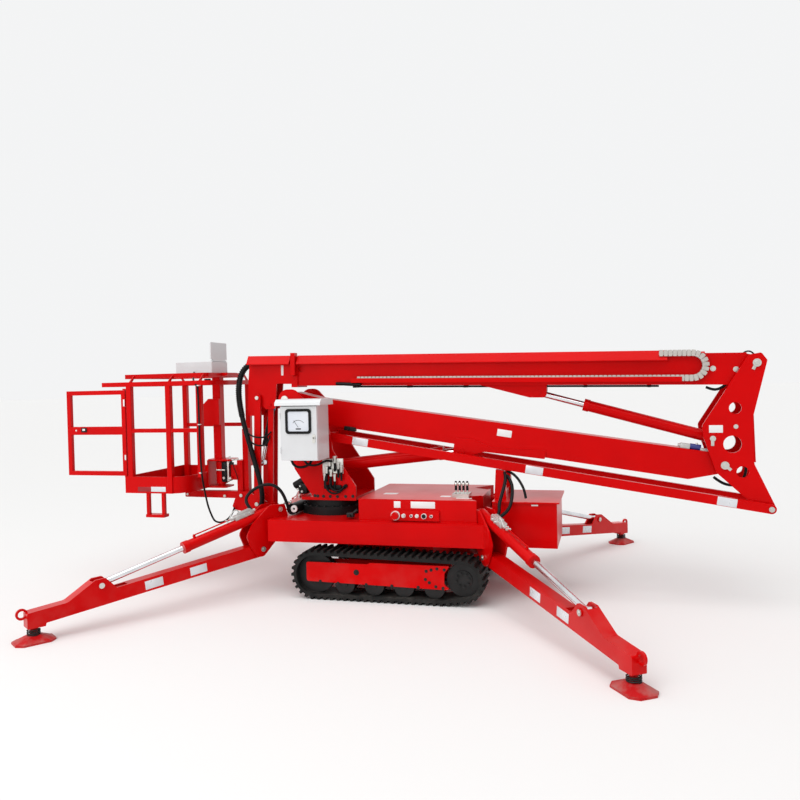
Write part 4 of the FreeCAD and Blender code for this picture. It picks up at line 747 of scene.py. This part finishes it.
jibBend = ("telescope", "jib", (-1330, -50, 1860), (-1300, -120, 1420))
jibConduit = {
    "points": [
        (-1325, -42, 1970), (-1385, -42, 1974), (-1432, -48, 1938), (-1462, -64, 1880), (-1474, -80, 1810),
        (-1476, -92, 1735), (-1467, -104, 1655), (-1450, -116, 1575), (-1430, -126, 1500),
    ],
    "diameter": 60, "rib": 3.4, "ribPitch": 19,
}


def bendOf(before, after, start, end):
    # between two bodies: where the one ends and the other starts
    return before, after, metres(start), metres(end)


def makeJibConduit(sizes):
    points, rib = sizes["points"], sizes["rib"]
    line, mesh = lineOf("jibConduit", points)
    radius, pitch = sizes["diameter"] / 2000 - rib / 1000, sizes["ribPitch"] / 1000
    grown = ribGrowth().grow("jibConduit", mesh, Radius=radius, Rib=rib / 1000, Pitch=pitch)
    tube = addPiece("jibConduit", grown, None, hoseRubber, bend=bendOf(*jibBend))
    addCord(tube, points, line, sizes["diameter"] - rib * 2)


makeJibConduit(jibConduit)

hoses = [
    # name, body, diameter, points
    ("basketCable", "basket", 17, [
        (-1900, -146, 1915), (-1880, -190, 1900), (-1850, -250, 1868), (-1800, -330, 1835), (-1740, -420, 1812),
        (-1690, -490, 1800), (-1658, -512, 1788), (-1650, -514, 1700), (-1648, -514, 1560), (-1648, -514, 1420),
        (-1648, -514, 1260), (-1642, -514, 1110), (-1636, -512, 1000), (-1640, -480, 900), (-1652, -430, 810),
        (-1666, -370, 705), (-1664, -310, 605), (-1662, -262, 548), (-1640, -190, 522), (-1600, -130, 545),
        (-1562, -108, 600), (-1545, -102, 652),
    ]),
    ("jibBranchLow", "jib", 15, [
        (-1368, -142, 1308), (-1340, -150, 1266), (-1290, -146, 1234), (-1240, -128, 1228), (-1205, -108, 1236),
        (-1190, -86, 1270), (-1186, -66, 1312),
    ]),
    ("jibBranchHigh", "jib", 15, [
        (-1388, -136, 1372), (-1358, -150, 1338), (-1310, -146, 1312), (-1262, -136, 1304), (-1222, -112, 1304),
        (-1190, -84, 1322), (-1176, -62, 1352),
    ]),
    ("swivelHose", "support", 8, [
        (-1600, -62, 1096), (-1572, -74, 1072), (-1548, -80, 1010), (-1526, -78, 955), (-1522, -62, 905),
    ]),
    ("bracketHoseA", "chassis", 28, [
        (985, -226, 1015), (1000, -266, 985), (996, -310, 930), (980, -352, 862), (965, -396, 800),
        (962, -430, 762), (970, -456, 735), (958, -462, 704),
    ]),
    ("bracketHoseB", "chassis", 28, [
        (1006, -228, 990), (1044, -266, 945), (1058, -310, 880), (1056, -356, 815), (1048, -406, 765),
        (1030, -446, 735), (1008, -480, 716), (978, -486, 692),
    ]),
    ("bracketHoseC", "chassis", 22, [
        (1000, -170, 1020), (1040, -190, 1010), (1092, -220, 968), (1130, -246, 912), (1150, -262, 868),
        (1160, -268, 810),
    ]),
    ("turretLoopA", "turret", 18, [
        (-548, -300, 1010), (-556, -314, 950), (-552, -322, 890), (-524, -324, 846), (-476, -322, 828),
        (-430, -314, 840), (-400, -304, 868), (-388, -296, 896),
    ]),
    ("turretLoopB", "turret", 18, [
        (-508, -300, 985), (-516, -316, 930), (-508, -324, 882), (-476, -324, 856), (-436, -318, 852),
        (-402, -308, 872), (-384, -297, 900),
    ]),
    ("cabinetHoseA", "turret", 22, [
        (-812, -450, 1150), (-806, -446, 1108), (-776, -440, 1076), (-730, -432, 1066), (-684, -420, 1078),
        (-652, -404, 1104), (-640, -392, 1134),
    ]),
    ("cabinetHoseB", "turret", 20, [
        (-690, -470, 1150), (-676, -462, 1112), (-648, -448, 1090), (-608, -430, 1084), (-570, -408, 1094),
        (-544, -380, 1112), (-520, -346, 1120), (-505, -298, 1108),
    ]),
    ("boomHoseTop", "upper_boom", 12, [
        (2828, -52, 1936), (2846, -54, 1952), (2872, -56, 1958), (2898, -56, 1950), (2916, -54, 1928),
    ]),
    ("boomHoseUnder", "upper_boom", 22, [
        (2560, -60, 1684), (2610, -66, 1660), (2660, -72, 1668), (2704, -80, 1700), (2734, -86, 1752),
        (2748, -88, 1810),
    ]),
]
for name, body, diameter, points in hoses:
    addHose(name, body, points, diameter)

jointHoses = [
    # name, bodies before and after the joint, where the one ends and the other starts, diameter, points
    ("deckHose", ("leg_barrel_rear_right", "chassis", (-1185, -560, 775), (-1030, -422, 912)), 28, [
        (-1140, -556, 706), (-1176, -560, 748), (-1204, -546, 800), (-1190, -508, 850), (-1136, -462, 894),
        (-1062, -432, 920), (-986, -414, 908), (-930, -396, 850), (-900, -374, 760), (-884, -345, 668),
    ]),
    ("knuckleHoseLow", ("lower_boom", "knuckle", (2650, -74, 948), (2800, -86, 930)), 22, [
        (2606, -70, 976), (2644, -74, 944), (2694, -78, 918), (2752, -84, 912), (2800, -92, 938),
        (2830, -100, 992), (2838, -108, 1056), (2832, -116, 1120),
    ]),
    ("jibHoses", jibBend, 46, [
        (-1448, -114, 1570), (-1428, -126, 1484), (-1400, -136, 1395), (-1370, -144, 1300), (-1338, -148, 1200),
        (-1308, -150, 1100), (-1280, -151, 1000), (-1258, -151, 915), (-1244, -149, 840), (-1240, -144, 770),
        (-1248, -135, 715), (-1266, -125, 675),
    ]),
]
for name, bend, diameter, points in jointHoses:
    line = lineOf(name, points)[0]
    tube = Shape().tube([point * 1000 for point in line], diameter / 2, 12)
    addCord(tube.piece(name, None, hoseRubber, bendOf(*bend)), points, line, diameter)
print("hoses laid")


# Drag chain on the upper boom

chainSizes = {
    "start": 3200, "bend": 458, "middle": -16, "radius": 98, "end": 690, "y": 126, "pitch": 34,
    "hose": 7, "hoseLevels": (-12, 12), "hoseSpread": 0.7,
}


def chainLine(sizes):
    # along the tray, round the bend and back under the cover, in the upper boom's frame
    middle, radius = sizes["middle"], sizes["radius"]
    bend = onCircle((sizes["bend"], middle), radius, range(-90, -271, -9))
    line = [(sizes["start"], middle - radius)] + bend + [(sizes["end"], middle + radius)]
    return [Vector((x, sizes["y"], z)) for x, z in line]


def makeDragChain(sizes):
    line = chainLine(sizes)
    mesh = bpy.data.meshes.new("chainLine")
    mesh.from_pydata([point / 1000 for point in line], [(i, i + 1) for i in range(len(line) - 1)], [])
    grown = chainGrowth(chainLook).grow("dragChainLinks", mesh, Pitch=sizes["pitch"] / 1000)
    place = upperFrame.copy()
    place.translation = place.translation / 1000
    grown.transform(place)
    addPiece("dragChainLinks", grown, "upper_boom", greyChain, replaced=["drag_chain"])
    inside = Shape(upperFrame)
    for level in sizes["hoseLevels"]:
        loop = [point + Vector((0, level * sizes["hoseSpread"], 0)) for point in line]
        inside.tube(loop, sizes["hose"], 8)
    inside.piece("chainHoses", "upper_boom", hoseRubber)


makeDragChain(chainSizes)
print("drag chain linked")


# Pins with their keeper plates

pinCaps = {
    "sunk": 3, "thickness": 6, "centreOut": 2, "tab": (58, 5, 24), "tabSunk": 6, "tabRounded": 2,
    # body, x, z, radius, outer face, direction of the keeper tab in degrees, or None
    "pins": [
        ("knuckle", 2915, 1864, 31, 165, -118), ("knuckle", 2594, 1285, 22, 163, -92),
        ("knuckle", 2679, 1077, 31, 163, -40), ("knuckle", 2996, 750, 21, 215, None),
        ("knuckle", 2761, 1377, 17, 155, None), ("turret", -930, 1650, 33, 289, 200),
        ("turret", -613, 1323, 21, 285, None), ("turret", -520, 1045, 23, 285, 250),
        ("jib", -1311, 690, 18, 118, None), ("telescope", -1280, 1666, 17, 120, None),
        ("rocker", -1485, 762, 15, 83, None), ("support", -1522, 750, 13, 48, None),
        ("support", -1675, 748, 13, 42, None), ("support", -2070, 758, 11, 36, None),
    ],
}


def makePins(sizes):
    grouped = {}
    tab = Vector(sizes["tab"])
    for body, x, z, radius, face, angle in sizes["pins"]:
        shape = grouped.setdefault(body, Shape())
        for side in hands:
            near, far = side * (face - sizes["sunk"]), side * (face + sizes["thickness"])
            shape.rod((x, near, z), (x, far, z), radius)
            shape.rod((x, far, z), (x, far + side * sizes["centreOut"], z), radius * 0.55, radius * 0.5)
            if angle is None:
                continue
            way = math.radians(angle)
            reach = Vector((math.cos(way), 0, math.sin(way))) * tab.x * 0.5
            middle = Vector((x, side * (face - sizes["tabSunk"]), z)) + reach
            shape.box(middle - tab / 2, middle + tab / 2, sizes["tabRounded"], Matrix.Rotation(-way, 4, "Y"))
    for body, shape in grouped.items():
        shape.piece(body + "Pins", body, zincSteel)


makePins(pinCaps)
print("pins capped")


# Labels and reflective tapes: thin plates on the faces that carry them

tapes = {
    "link": (278, 1790, 3268), "linkLength": 142, "linkFace": 205, "half": 33,
    # out along the leg and height of the middle of each tape, for the front legs (1) and the rear ones (-1)
    "leg": {1: [(780, 284), (1140, 246)], -1: [(580, 303), (950, 262)]},
    "legHalf": 72, "legFace": 50, "legTilt": -6.6, "toeLow": 846, "toeFace": 495,
    "toe": {"toeTapesRed": (-2297, -2160, 888, redTape), "toeTapesWhite": (-2160, -2012, 890, whiteTape)},
}


def makeTapes(sizes):
    half, long = sizes["half"], sizes["legHalf"]
    for side, label in hands.items():
        face, reach = side * sizes["linkFace"], sizes["linkLength"]
        forms = {x: ("plate", (x, -half), (x + reach, half), face) for x in sizes["link"]}
        fitPieces({"linkTapes_" + label: ("link", whiteTape, forms)}, linkFrame)
    tilted = frameAt(0, 0, 0, 0, sizes["legTilt"])
    for corner in corners:
        forms = {}
        for out, level in sizes["leg"][corners[corner][0]]:
            spot = (out - long, level - half), (out + long, level + half)
            forms |= {(out, side): ("plate", *spot, side * sizes["legFace"], tilted) for side in hands}
        fitPieces({"legTapes_" + corner: ("outrigger_" + corner, whiteTape, forms)}, legFrame(corner))
    for name, (start, end, high, finish) in sizes["toe"].items():
        spot = (start, sizes["toeLow"]), (end, high)
        forms = {side: ("plate", *spot, side * sizes["toeFace"]) for side in hands}
        fitPieces({name: ("basket", finish, forms)})


makeTapes(tapes)
fitPieces({
    "coverLabels": ("chassis", labelWhite, {
        "panelRear": ("plate", (103, 746), (159, 800), -476),
        "panelFront": ("plate", (246, 746), (449, 800), -476),
        "deckRear": ("box", (-70, -205, 815), (50, -120, 816.2), 0.4),
        "deckFront": ("box", (452, -300, 815), (540, -232, 816.2), 0.4),
        "deckStrip": ("box", (600, -372, 815), (730, -338, 816.2), 0.4),
        "boxLock": ("rod", (1214, -330, 765), (1214, -336, 765), 6),
        "boxHandle": ("box", (1214, -335, 759), (1262, -330, 771), 2),
    }),
    "knuckleLabel": ("knuckle", labelWhite, {"side": ("plate", (2568, 1330), (2668, 1388), -155)}),
})
fitPieces({
    "boomLabel": ("lower_boom", labelWhite, {"side": ("plate", (1868, -48), (1990, 10), -90)}),
}, lowerFrame)
fitPieces({
    "noseLabel": ("telescope", labelWhite, {"side": ("plate", (-1052, 1866), (-1014, 1958), -76)}),
    "gateLabels": ("gate", labelWhite, {
        "upper": ("plate", (-2425, 1618), (-2410, 1680), -495),
        "lower": ("plate", (-2425, 1130), (-2410, 1176), -495),
    }),
})
print("labels and tapes on")


# Buttons of the ground panel and grips of the levers

panelKnobs = {
    "face": 498, "level": 687, "sunk": 10, "taper": 0.86, "collarOut": 17, "collarHole": 0.8,
    # x, radius, standing out, finish, collar radius
    "knobs": [
        (122, 33, 46, redPaint, 38), (191, 13, 30, castBlock, 17), (256, 9, 18, blackPaint, 12),
        (303, 11, 22, zincSteel, 15), (362, 20, 20, blackPaint, 22), (423, 9, 18, blackPaint, 12),
    ],
}


def makePanelKnobs(sizes):
    face, level = -sizes["face"], sizes["level"]
    grouped = {}
    for x, radius, out, finish, collar in sizes["knobs"]:
        knob = grouped.setdefault(finish.name, (Shape(), finish))[0]
        inside, tip = face - sizes["sunk"], radius * sizes["taper"]
        knob.rod((x, inside, level), (x, face - out, level), radius, tip, 24)
        ring = grouped.setdefault("collars", (Shape(), labelWhite))[0]
        outside = face - sizes["collarOut"]
        ring.ring((x, face, level), (x, outside, level), collar, radius * sizes["collarHole"])
    for label, (shape, finish) in grouped.items():
        shape.piece("panel_" + label, "chassis", finish)


def leverForms(places):
    forms = {}
    for x in places:
        forms[f"grip{x}"] = ("rod", (x, -260, 868), (x, -260, 936), 11, 9, 16)
        forms[f"top{x}"] = ("ball", (x, -260, 936), 10)
    return forms


makePanelKnobs(panelKnobs)
fitPieces({"leverGrips": ("chassis", hoseRubber, leverForms((582, 614, 646, 678)))})


# Cabinet: window with its meter, lock and glands

window = {"left": -781.5, "right": -552.5, "low": 1367.5, "high": 1575.5, "rim": 21.5, "inset": 12}
dial = {"middle": (-667, 1420), "radius": 62, "line": 1.6}
doorFace = -614.3


def roundedOutline(low, high, radius):
    spots = []
    left, right = low[0] + radius, high[0] - radius
    bottom, top = low[1] + radius, high[1] - radius
    for x, z, start in ((right, top, 0), (left, top, 90), (left, bottom, 180), (right, bottom, 270)):
        spots += onCircle((x, z), radius, range(start, start + 91, 15))
    return spots


def windowOutline(inset, radius):
    low = window["left"] + inset, window["low"] + inset
    high = window["right"] - inset, window["high"] - inset
    return roundedOutline(low, high, radius)


y = doorFace - 4
arc = [(x, y, z) for x, z in onCircle(dial["middle"], dial["radius"], range(40, 141, 10))]
fitPieces({
    "windowSeal": ("cabinet_door", hoseRubber, {
        "seal": ("rim", windowOutline(0, 28), windowOutline(window["rim"], 15), doorFace, doorFace - 9),
    }),
    "windowPane": ("cabinet_door", meterPane, {
        "pane": ("sheet", windowOutline(window["inset"], 15), doorFace - 0.5, doorFace - 3.5),
    }),
    "meterDial": ("cabinet_door", hoseRubber, {
        "scale": ("tube", arc, dial["line"], 6),
        "needle": ("nut", (-667, y, 1420), (-706, y, 1478), dial["line"]),
        "plate": ("box", (-690, y - 0.5, 1404), (-644, y + 1, 1414)),
    }),
    "doorLock": ("cabinet_door", zincSteel, {
        "plate": ("sheet", roundedOutline((-545, 1290), (-519, 1362), 12), doorFace, doorFace - 5),
        "barrel": ("rod", (-532, doorFace - 4, 1334), (-532, doorFace - 14, 1334), 13, 11),
    }),
    "lockSlot": ("cabinet_door", hoseRubber, {
        "slot": ("box", (-535, doorFace - 15.5, 1326), (-529, doorFace - 12, 1342), 0.5),
    }),
    "cabinetGlands": ("turret", hoseRubber, {
        "rear": ("rod", (-812, -450, 1146), (-812, -450, 1128), 17, 15),
        "front": ("rod", (-690, -470, 1146), (-690, -470, 1128), 17, 15),
        "middle": ("rod", (-740, -430, 1146), (-740, -430, 1128), 17, 15),
    }),
})
print("panel and cabinet dressed")


# Turret: hose fittings, slewing motor and its cap

turretFittings = {
    "plate": 275, "out": 30, "ports": [(-392, 884), (-382, 892)],
    # x, z of each coupling on the right plate, and the radius
    "couplings": [
        (-548, 1030, 17), (-508, 1004, 17), (-474, 962, 15), (-520, 1092, 16), (-470, 1120, 16),
        (-440, 1068, 16), (-412, 1040, 15), (-566, 968, 14),
    ],
}


def makeTurretFittings(sizes):
    face = -sizes["plate"]
    y = face - sizes["out"]
    metal, rubber, ports = Shape(), Shape(), Shape()
    for x, z, radius in sizes["couplings"]:
        metal.nut((x, y, z - 26), (x, y, z + 16), radius * 0.72)
        metal.nut((x, y, z + 16), (x, y, z + 34), radius)
        metal.rod((x, face + 2, z + 24), (x, y, z + 24), radius * 0.6, sides=12)
        rubber.rod((x, y, z - 100), (x, y, z - 24), radius * 0.62, sides=12)
    metal.box((-590, face - 12, 1000), (-400, face, 1130), 3)
    metal.piece("turretCouplings", "turret", zincSteel)
    rubber.box((-560, face - 24, 860), (-420, face - 2, 900), 5)
    rubber.piece("turretHoseEnds", "turret", hoseRubber)
    for x, z in sizes["ports"]:
        ports.rod((x, face + 2, z), (x, face - 24, z), 17, 15)
    ports.piece("turretPorts", "turret", hoseRubber)


makeTurretFittings(turretFittings)
fitPieces({
    "slewMotor": ("turret", blackPaint, {
        "motor": ("rod", (-925, -120, 866), (-800, -120, 938), 34, 34, 24),
        "flange": ("rod", (-800, -120, 938), (-778, -120, 951), 42, 42, 24),
        "gearbox": ("box", (-868, -175, 800), (-790, -60, 892), 8),
    }),
    "slewMotorPorts": ("turret", zincSteel, {
        "rear": ("nut", (-866, -176, 846), (-866, -204, 846), 11),
        "front": ("nut", (-826, -176, 826), (-826, -204, 826), 11),
        "drain": ("nut", (-846, -176, 872), (-846, -196, 872), 9),
    }),
    "wormCap": ("chassis", labelWhite, {"cap": ("ring", (-846, -329, 694), (-846, -343, 694), 30, 11)}),
    "wormPipes": ("chassis", castBlock, {
        "long": ("pipe", [(-985, -330, 655), (-960, -335, 700), (-938, -338, 738), (-905, -336, 752),
                          (-872, -330, 752)], 9),
        "short": ("pipe", [(-905, -300, 650), (-900, -318, 700), (-880, -322, 740)], 8),
    }),
    "deckValve": ("chassis", darkSteel, {
        "block": ("box", (-322, -452, 650), (-262, -402, 690), 4),
        "outlet": ("rod", (-292, -452, 668), (-292, -474, 668), 12, 10, 12),
        "elbow": ("rod", (-262, -430, 690), (-232, -430, 712), 12, 12, 12),
    }),
})
print("turret dressed")


# Legs: holding valve and pipe on each barrel, pins, and the coil over the pad

legValve = {
    # in the cylinder's frame: x runs along the barrel and z stands off it
    "holdingValve": (castBlock, {
        "block": ("box", (222, -27, 40), (402, 27, 78), 3),
        "top": ("box", (240, -21, 76), (356, 21, 92), 3),
        "rearCheck": ("nut", (262, -41, 58), (262, 41, 58), 10),
        "frontCheck": ("nut", (314, -41, 58), (314, 41, 58), 10),
        "outlet": ("nut", (398, 0, 62), (428, 0, 62), 11),
        "inlet": ("nut", (198, 0, 62), (226, 0, 62), 13),
        "rearTee": ("nut", (438, -20, 64), (438, 20, 64), 9),
        "frontTee": ("nut", (472, -20, 64), (472, 20, 64), 9),
        "bridge": ("pipe", [(332, -20, 86), (352, -24, 114), (392, -24, 108), (432, -20, 68)], 5),
    }),
    "barrelPipe": (redPaint, {
        "pipe": ("pipe", [(422, 0, 62), (472, 0, 64), (716, 0, 64), (762, 0, 64), (776, 0, 52),
                          (776, 0, 40)], 5.5),
        "port": ("nut", (776, 0, 40), (776, 0, 62), 12),
        "cap": ("rod", (776, 0, 62), (776, 0, 70), 8, 8, 12),
    }),
}
legPins = {
    # body, out along the leg, height, radius, outer face
    "legPin1351": ("outrigger", 1351, 320, 21, 57),
    "legPin0": ("chassis", 0, 380, 22, 80),
    "legPinlow178": ("chassis", -178, 701, 22, 78),
}
footSpring = {"out": 1813, "radius": 42, "low": 50, "rise": 0.95, "step": 0.5, "count": 44, "wire": 4.5}


def makeLegPins(corner, pins):
    for name, (body, out, level, radius, face) in pins.items():
        shape = Shape(legFrame(corner))
        for side in hands:
            near, far, tip = (side * (face + step) for step in (-2, 6, 10))
            shape.rod((out, near, level), (out, far, level), radius)
            shape.rod((out, far, level), (out, tip, level), radius * 0.5, radius * 0.45)
        shape.piece(f"{name}_{corner}", body if body == "chassis" else f"{body}_{corner}", zincSteel)


def makeFootSpring(corner, sizes):
    line = []
    for i in range(sizes["count"]):
        a = i * sizes["step"]
        x, y = sizes["out"] + sizes["radius"] * math.cos(a), sizes["radius"] * math.sin(a)
        line.append((x, y, sizes["low"] + i * sizes["rise"]))
    forms = {"coil": ("tube", line, sizes["wire"], 7)}
    fitPieces({"footSpring_" + corner: ("outrigger_" + corner, darkSteel, forms)}, legFrame(corner))


for corner in corners:
    barrel, place = "leg_barrel_" + corner, legCylinderFrame(corner)
    fitPieces({f"{name}_{corner}": (barrel, *rest) for name, rest in legValve.items()}, place)
    makeLegPins(corner, legPins)
for corner in corners:
    makeFootSpring(corner, footSpring)
print("legs dressed")


# Bolts: track frames and hubs, turret plates, slewing ring, root of the upper boom

trackBolts = {
    "face": 632, "frame": [(-344, 140), (-102, 140), (114, 140), (333, 140), (-500, 150)],
    "cluster": [
        (401, 271), (441, 283), (489, 294), (548, 288), (393, 205), (425, 181), (477, 151), (535, 141),
    ],
    "hub": (690, 205), "hubFace": 610, "hubRadius": 52, "plug": (-185, 236),
}
turretBolts = [(-672, 803), (-645, 800), (-592, 799), (-530, 798), (-463, 798), (-388, 800), (-322, 803)]
slewRing = {"middle": (-580, 0), "radius": 283, "level": 706}
boomBolts = {"y": 100, "spots": [(2610, 1828), (2776, 1818)]}


def bothSides(name, body, finish, spots, face, head, height):
    placed = [(x, side * face, z) for side in hands for x, z in spots]
    aims = [(0, side, 0) for side in hands for _spot in spots]
    boltRow(name, body, finish, placed, aims, head, height)


def makeTrackBolts(sizes):
    x, z = sizes["plug"]
    for side, label in hands.items():
        face = side * sizes["face"]
        spots = [(along, face, level) for along, level in sizes["frame"] + sizes["cluster"]]
        boltRow("frameBolts_" + label, "chassis", darkSteel, spots, (0, side, 0), 9, 7)
        hub = onCircle(sizes["hub"], sizes["hubRadius"], around(8, 12))
        spots = [(along, side * sizes["hubFace"], level) for along, level in hub]
        boltRow("hubBolts_" + label, "chassis", darkSteel, spots, (0, side, 0), 8, 8)
        plug = Shape()
        plug.rod((x, face, z), (x, face + side * 5, z), 24, 22, 24)
        plug.rod((x, face + side * 5, z), (x, face + side * 12, z), 11, 10, 6)
        plug.piece("framePlug_" + label, "chassis", darkSteel)


makeTrackBolts(trackBolts)
bothSides("turretBolts", "turret", darkSteel, turretBolts, turretFittings["plate"], 10, 7)
circle = onCircle(slewRing["middle"], slewRing["radius"], around(24))
boltRow("slewBolts", "chassis", darkSteel, [(*spot, slewRing["level"]) for spot in circle], (0, 0, 1), 10, 9)
bothSides("boomRootBolts", "upper_boom", zincSteel, boomBolts["spots"], boomBolts["y"], 15, 10)
print("bolts in place")


# Booms: pipes under the upper one, valve and sensor on the lower one, ports of the jib's cylinder

def underPipes(start, end, z):
    forms = {}
    for y in (-36, 0, 36):
        forms[f"pipe{y}"] = ("rod", (start, y, z), (end, y, z), 8, 8, 10)
    for x in range(start + 60, end, 500):
        forms[f"clip{x}"] = ("box", (x, -52, z - 10), (x + 28, 52, z + 11), 2)
    return forms


fitPieces({
    "underPipes": ("upper_boom", hoseRubber, underPipes(700, 3280, -178)),
    "trayHoses": ("upper_boom", hoseRubber, {
        "thick": ("rod", (3190, 128, -160), (3420, 118, -150), 17, 14, 14),
        "thin": ("rod", (3190, 106, -156), (3400, 104, -146), 12, 10, 12),
    }),
}, upperFrame)
fitPieces({
    "boomValveBlock": ("lower_boom", castBlock, {
        "block": ("box", (3318, -84, 78), (3392, -24, 118), 4),
        "foot": ("box", (3470, -80, 78), (3540, -30, 100), 3),
        "frontPort": ("nut", (3540, -56, 92), (3596, -56, 92), 12),
        "rearPort": ("nut", (3300, -70, 100), (3320, -70, 100), 12),
        "topPort": ("rod", (3440, -56, 120), (3440, -56, 134), 9, 9, 10),
    }),
    "boomValveCoil": ("lower_boom", bluePaint, {"coil": ("rod", (3392, -54, 100), (3474, -54, 100), 24)}),
    "boomSensor": ("lower_boom", blackPaint, {
        "case": ("box", (520, -118, -205), (624, -60, -168), 5),
        "plug": ("nut", (560, -119, -186), (560, -136, -186), 12),
    }),
}, lowerFrame)
fitPieces({
    "jibValve": ("jib_barrel", bluePaint, {"head": ("box", (-1200, -52, 1546), (-1146, -6, 1592), 8)}),
    "jibPorts": ("jib_barrel", zincSteel, {
        "upper": ("nut", (-1176, -38, 1352), (-1176, -51, 1352), 10),
        "lower": ("nut", (-1186, -38, 1312), (-1186, -51, 1312), 10),
    }),
})
print("booms dressed")


# Basket: swivel drive, gate latch, cable ties and socket

cableTies = {"levels": (1790, 1448, 1022), "x": -1648, "y": -514, "outer": 12.5, "inner": 9}


def tieForms(sizes):
    forms = {}
    x, y = sizes["x"], sizes["y"]
    for z in sizes["levels"]:
        forms[f"loop{z}"] = ("ring", (x, y, z - 4), (x, y, z + 4), sizes["outer"], sizes["inner"])
        forms[f"foot{z}"] = ("box", (x - 12, y + 9, z - 3), (x + 12, y + 19, z + 3), 1)
    return forms


fitPieces({
    "swivelDrive": ("support", blackPaint, {
        "motor": ("box", (-1692, -62, 882), (-1640, 62, 1070), 6),
        "flange": ("box", (-1640, -40, 900), (-1612, 40, 1060), 4),
    }),
    "swivelFittings": ("support", zincSteel, {
        "shaft": ("rod", (-1740, -66, 995), (-1650, -66, 995), 9, 9, 12),
        "boss": ("rod", (-1664, -62, 922), (-1664, -74, 922), 12, 12, 12),
        "lowPort": ("nut", (-1600, -50, 920), (-1600, -74, 920), 13),
        "strip": ("box", (-1636, -58, 890), (-1618, -42, 1080), 2),
        "cover": ("box", (-1700, -70, 1088), (-1560, -20, 1097), 2),
        "topPort": ("nut", (-1604, -58, 1092), (-1604, -58, 1124), 10),
        "pipe": ("rod", (-1566, -50, 1092), (-1520, -44, 1098), 7, 7, 8),
    }),
    "gateLatch": ("gate", blackPaint, {"case": ("box", (-2878, -499, 1384), (-2818, -494, 1424), 3)}),
    "gateLatchSlide": ("gate", labelWhite, {
        "slide": ("box", (-2862, -502, 1398), (-2834, -498, 1416), 1.5),
        "keeper": ("rod", (-2932, -494, 1401), (-2932, -500, 1401), 8, 7, 14),
    }),
    "gateBolt": ("gate", darkSteel, {"bolt": ("rod", (-3022, -478, 1374), (-2950, -478, 1374), 7, 7, 12)}),
    "cableTies": ("basket", labelWhite, tieForms(cableTies)),
    "railSocket": ("basket", blackPaint, {"case": ("box", (-1846, -62, 1826), (-1786, -42, 1854), 3)}),
})
print("basket dressed")


# Stage

stageLook = {"floor": (0.80, 0.797, 0.79), "size": 400.0, "background": (0.90, 0.905, 0.91), "light": 0.62}
lampLook = {"place": (-3.5, -9.0, 4.5), "aim": (0, 0, 0.9), "size": (6, 4), "power": 210}
sunLook = {"power": 1.9, "spread": 70, "turned": (22, -8, 0)}


def makeFloor(look):
    side = look["size"] / 2
    mesh = bpy.data.meshes.new("floor")
    spots = [(x * side, y * side, 0) for x, y in ((-1, -1), (1, -1), (1, 1), (-1, 1))]
    mesh.from_pydata(spots, [], [(0, 1, 2, 3)])
    floor = addObject("floor", mesh)
    mesh.materials.append(Finish("floorPale").set(Base_Color=look["floor"], Roughness=0.85))


def makeSky(look):
    # pale where a ray from the camera or a mirroring surface meets it, weaker as a light
    world = bpy.data.worlds.new("studio")
    bpy.context.scene.world = world
    world.use_nodes = True
    tree = world.node_tree
    back = tree.nodes["Background"]
    path = tree.nodes.new("ShaderNodeLightPath")
    seen = Wire(tree, path.outputs["Is Camera Ray"])
    for kind in ("Glossy", "Transmission"):
        seen = seen.maths("MAXIMUM", Wire(tree, path.outputs[f"Is {kind} Ray"]))
    plug(tree, back.inputs["Strength"], seen * (1.0 - look["light"]) + look["light"])
    plug(tree, back.inputs["Color"], look["background"])


def makeLamp(look):
    data = bpy.data.lights.new("sideLamp", "AREA")
    data.shape = "RECTANGLE"
    data.size, data.size_y = look["size"]
    data.energy = look["power"]
    lamp = addObject("sideLamp", data)
    lamp.location = look["place"]
    lamp.rotation_mode = "QUATERNION"
    lamp.rotation_quaternion = (Vector(look["aim"]) - Vector(look["place"])).to_track_quat("-Z", "Y")


def makeSun(look):
    # an even light from above, so that the far floor is as bright as the near
    data = bpy.data.lights.new("softSun", "SUN")
    data.energy = look["power"]
    data.angle = math.radians(look["spread"])
    lamp = addObject("softSun", data)
    lamp.rotation_euler = [math.radians(angle) for angle in look["turned"]]


makeFloor(stageLook)
makeSky(stageLook)
makeLamp(lampLook)
makeSun(sunLook)
print("stage set")
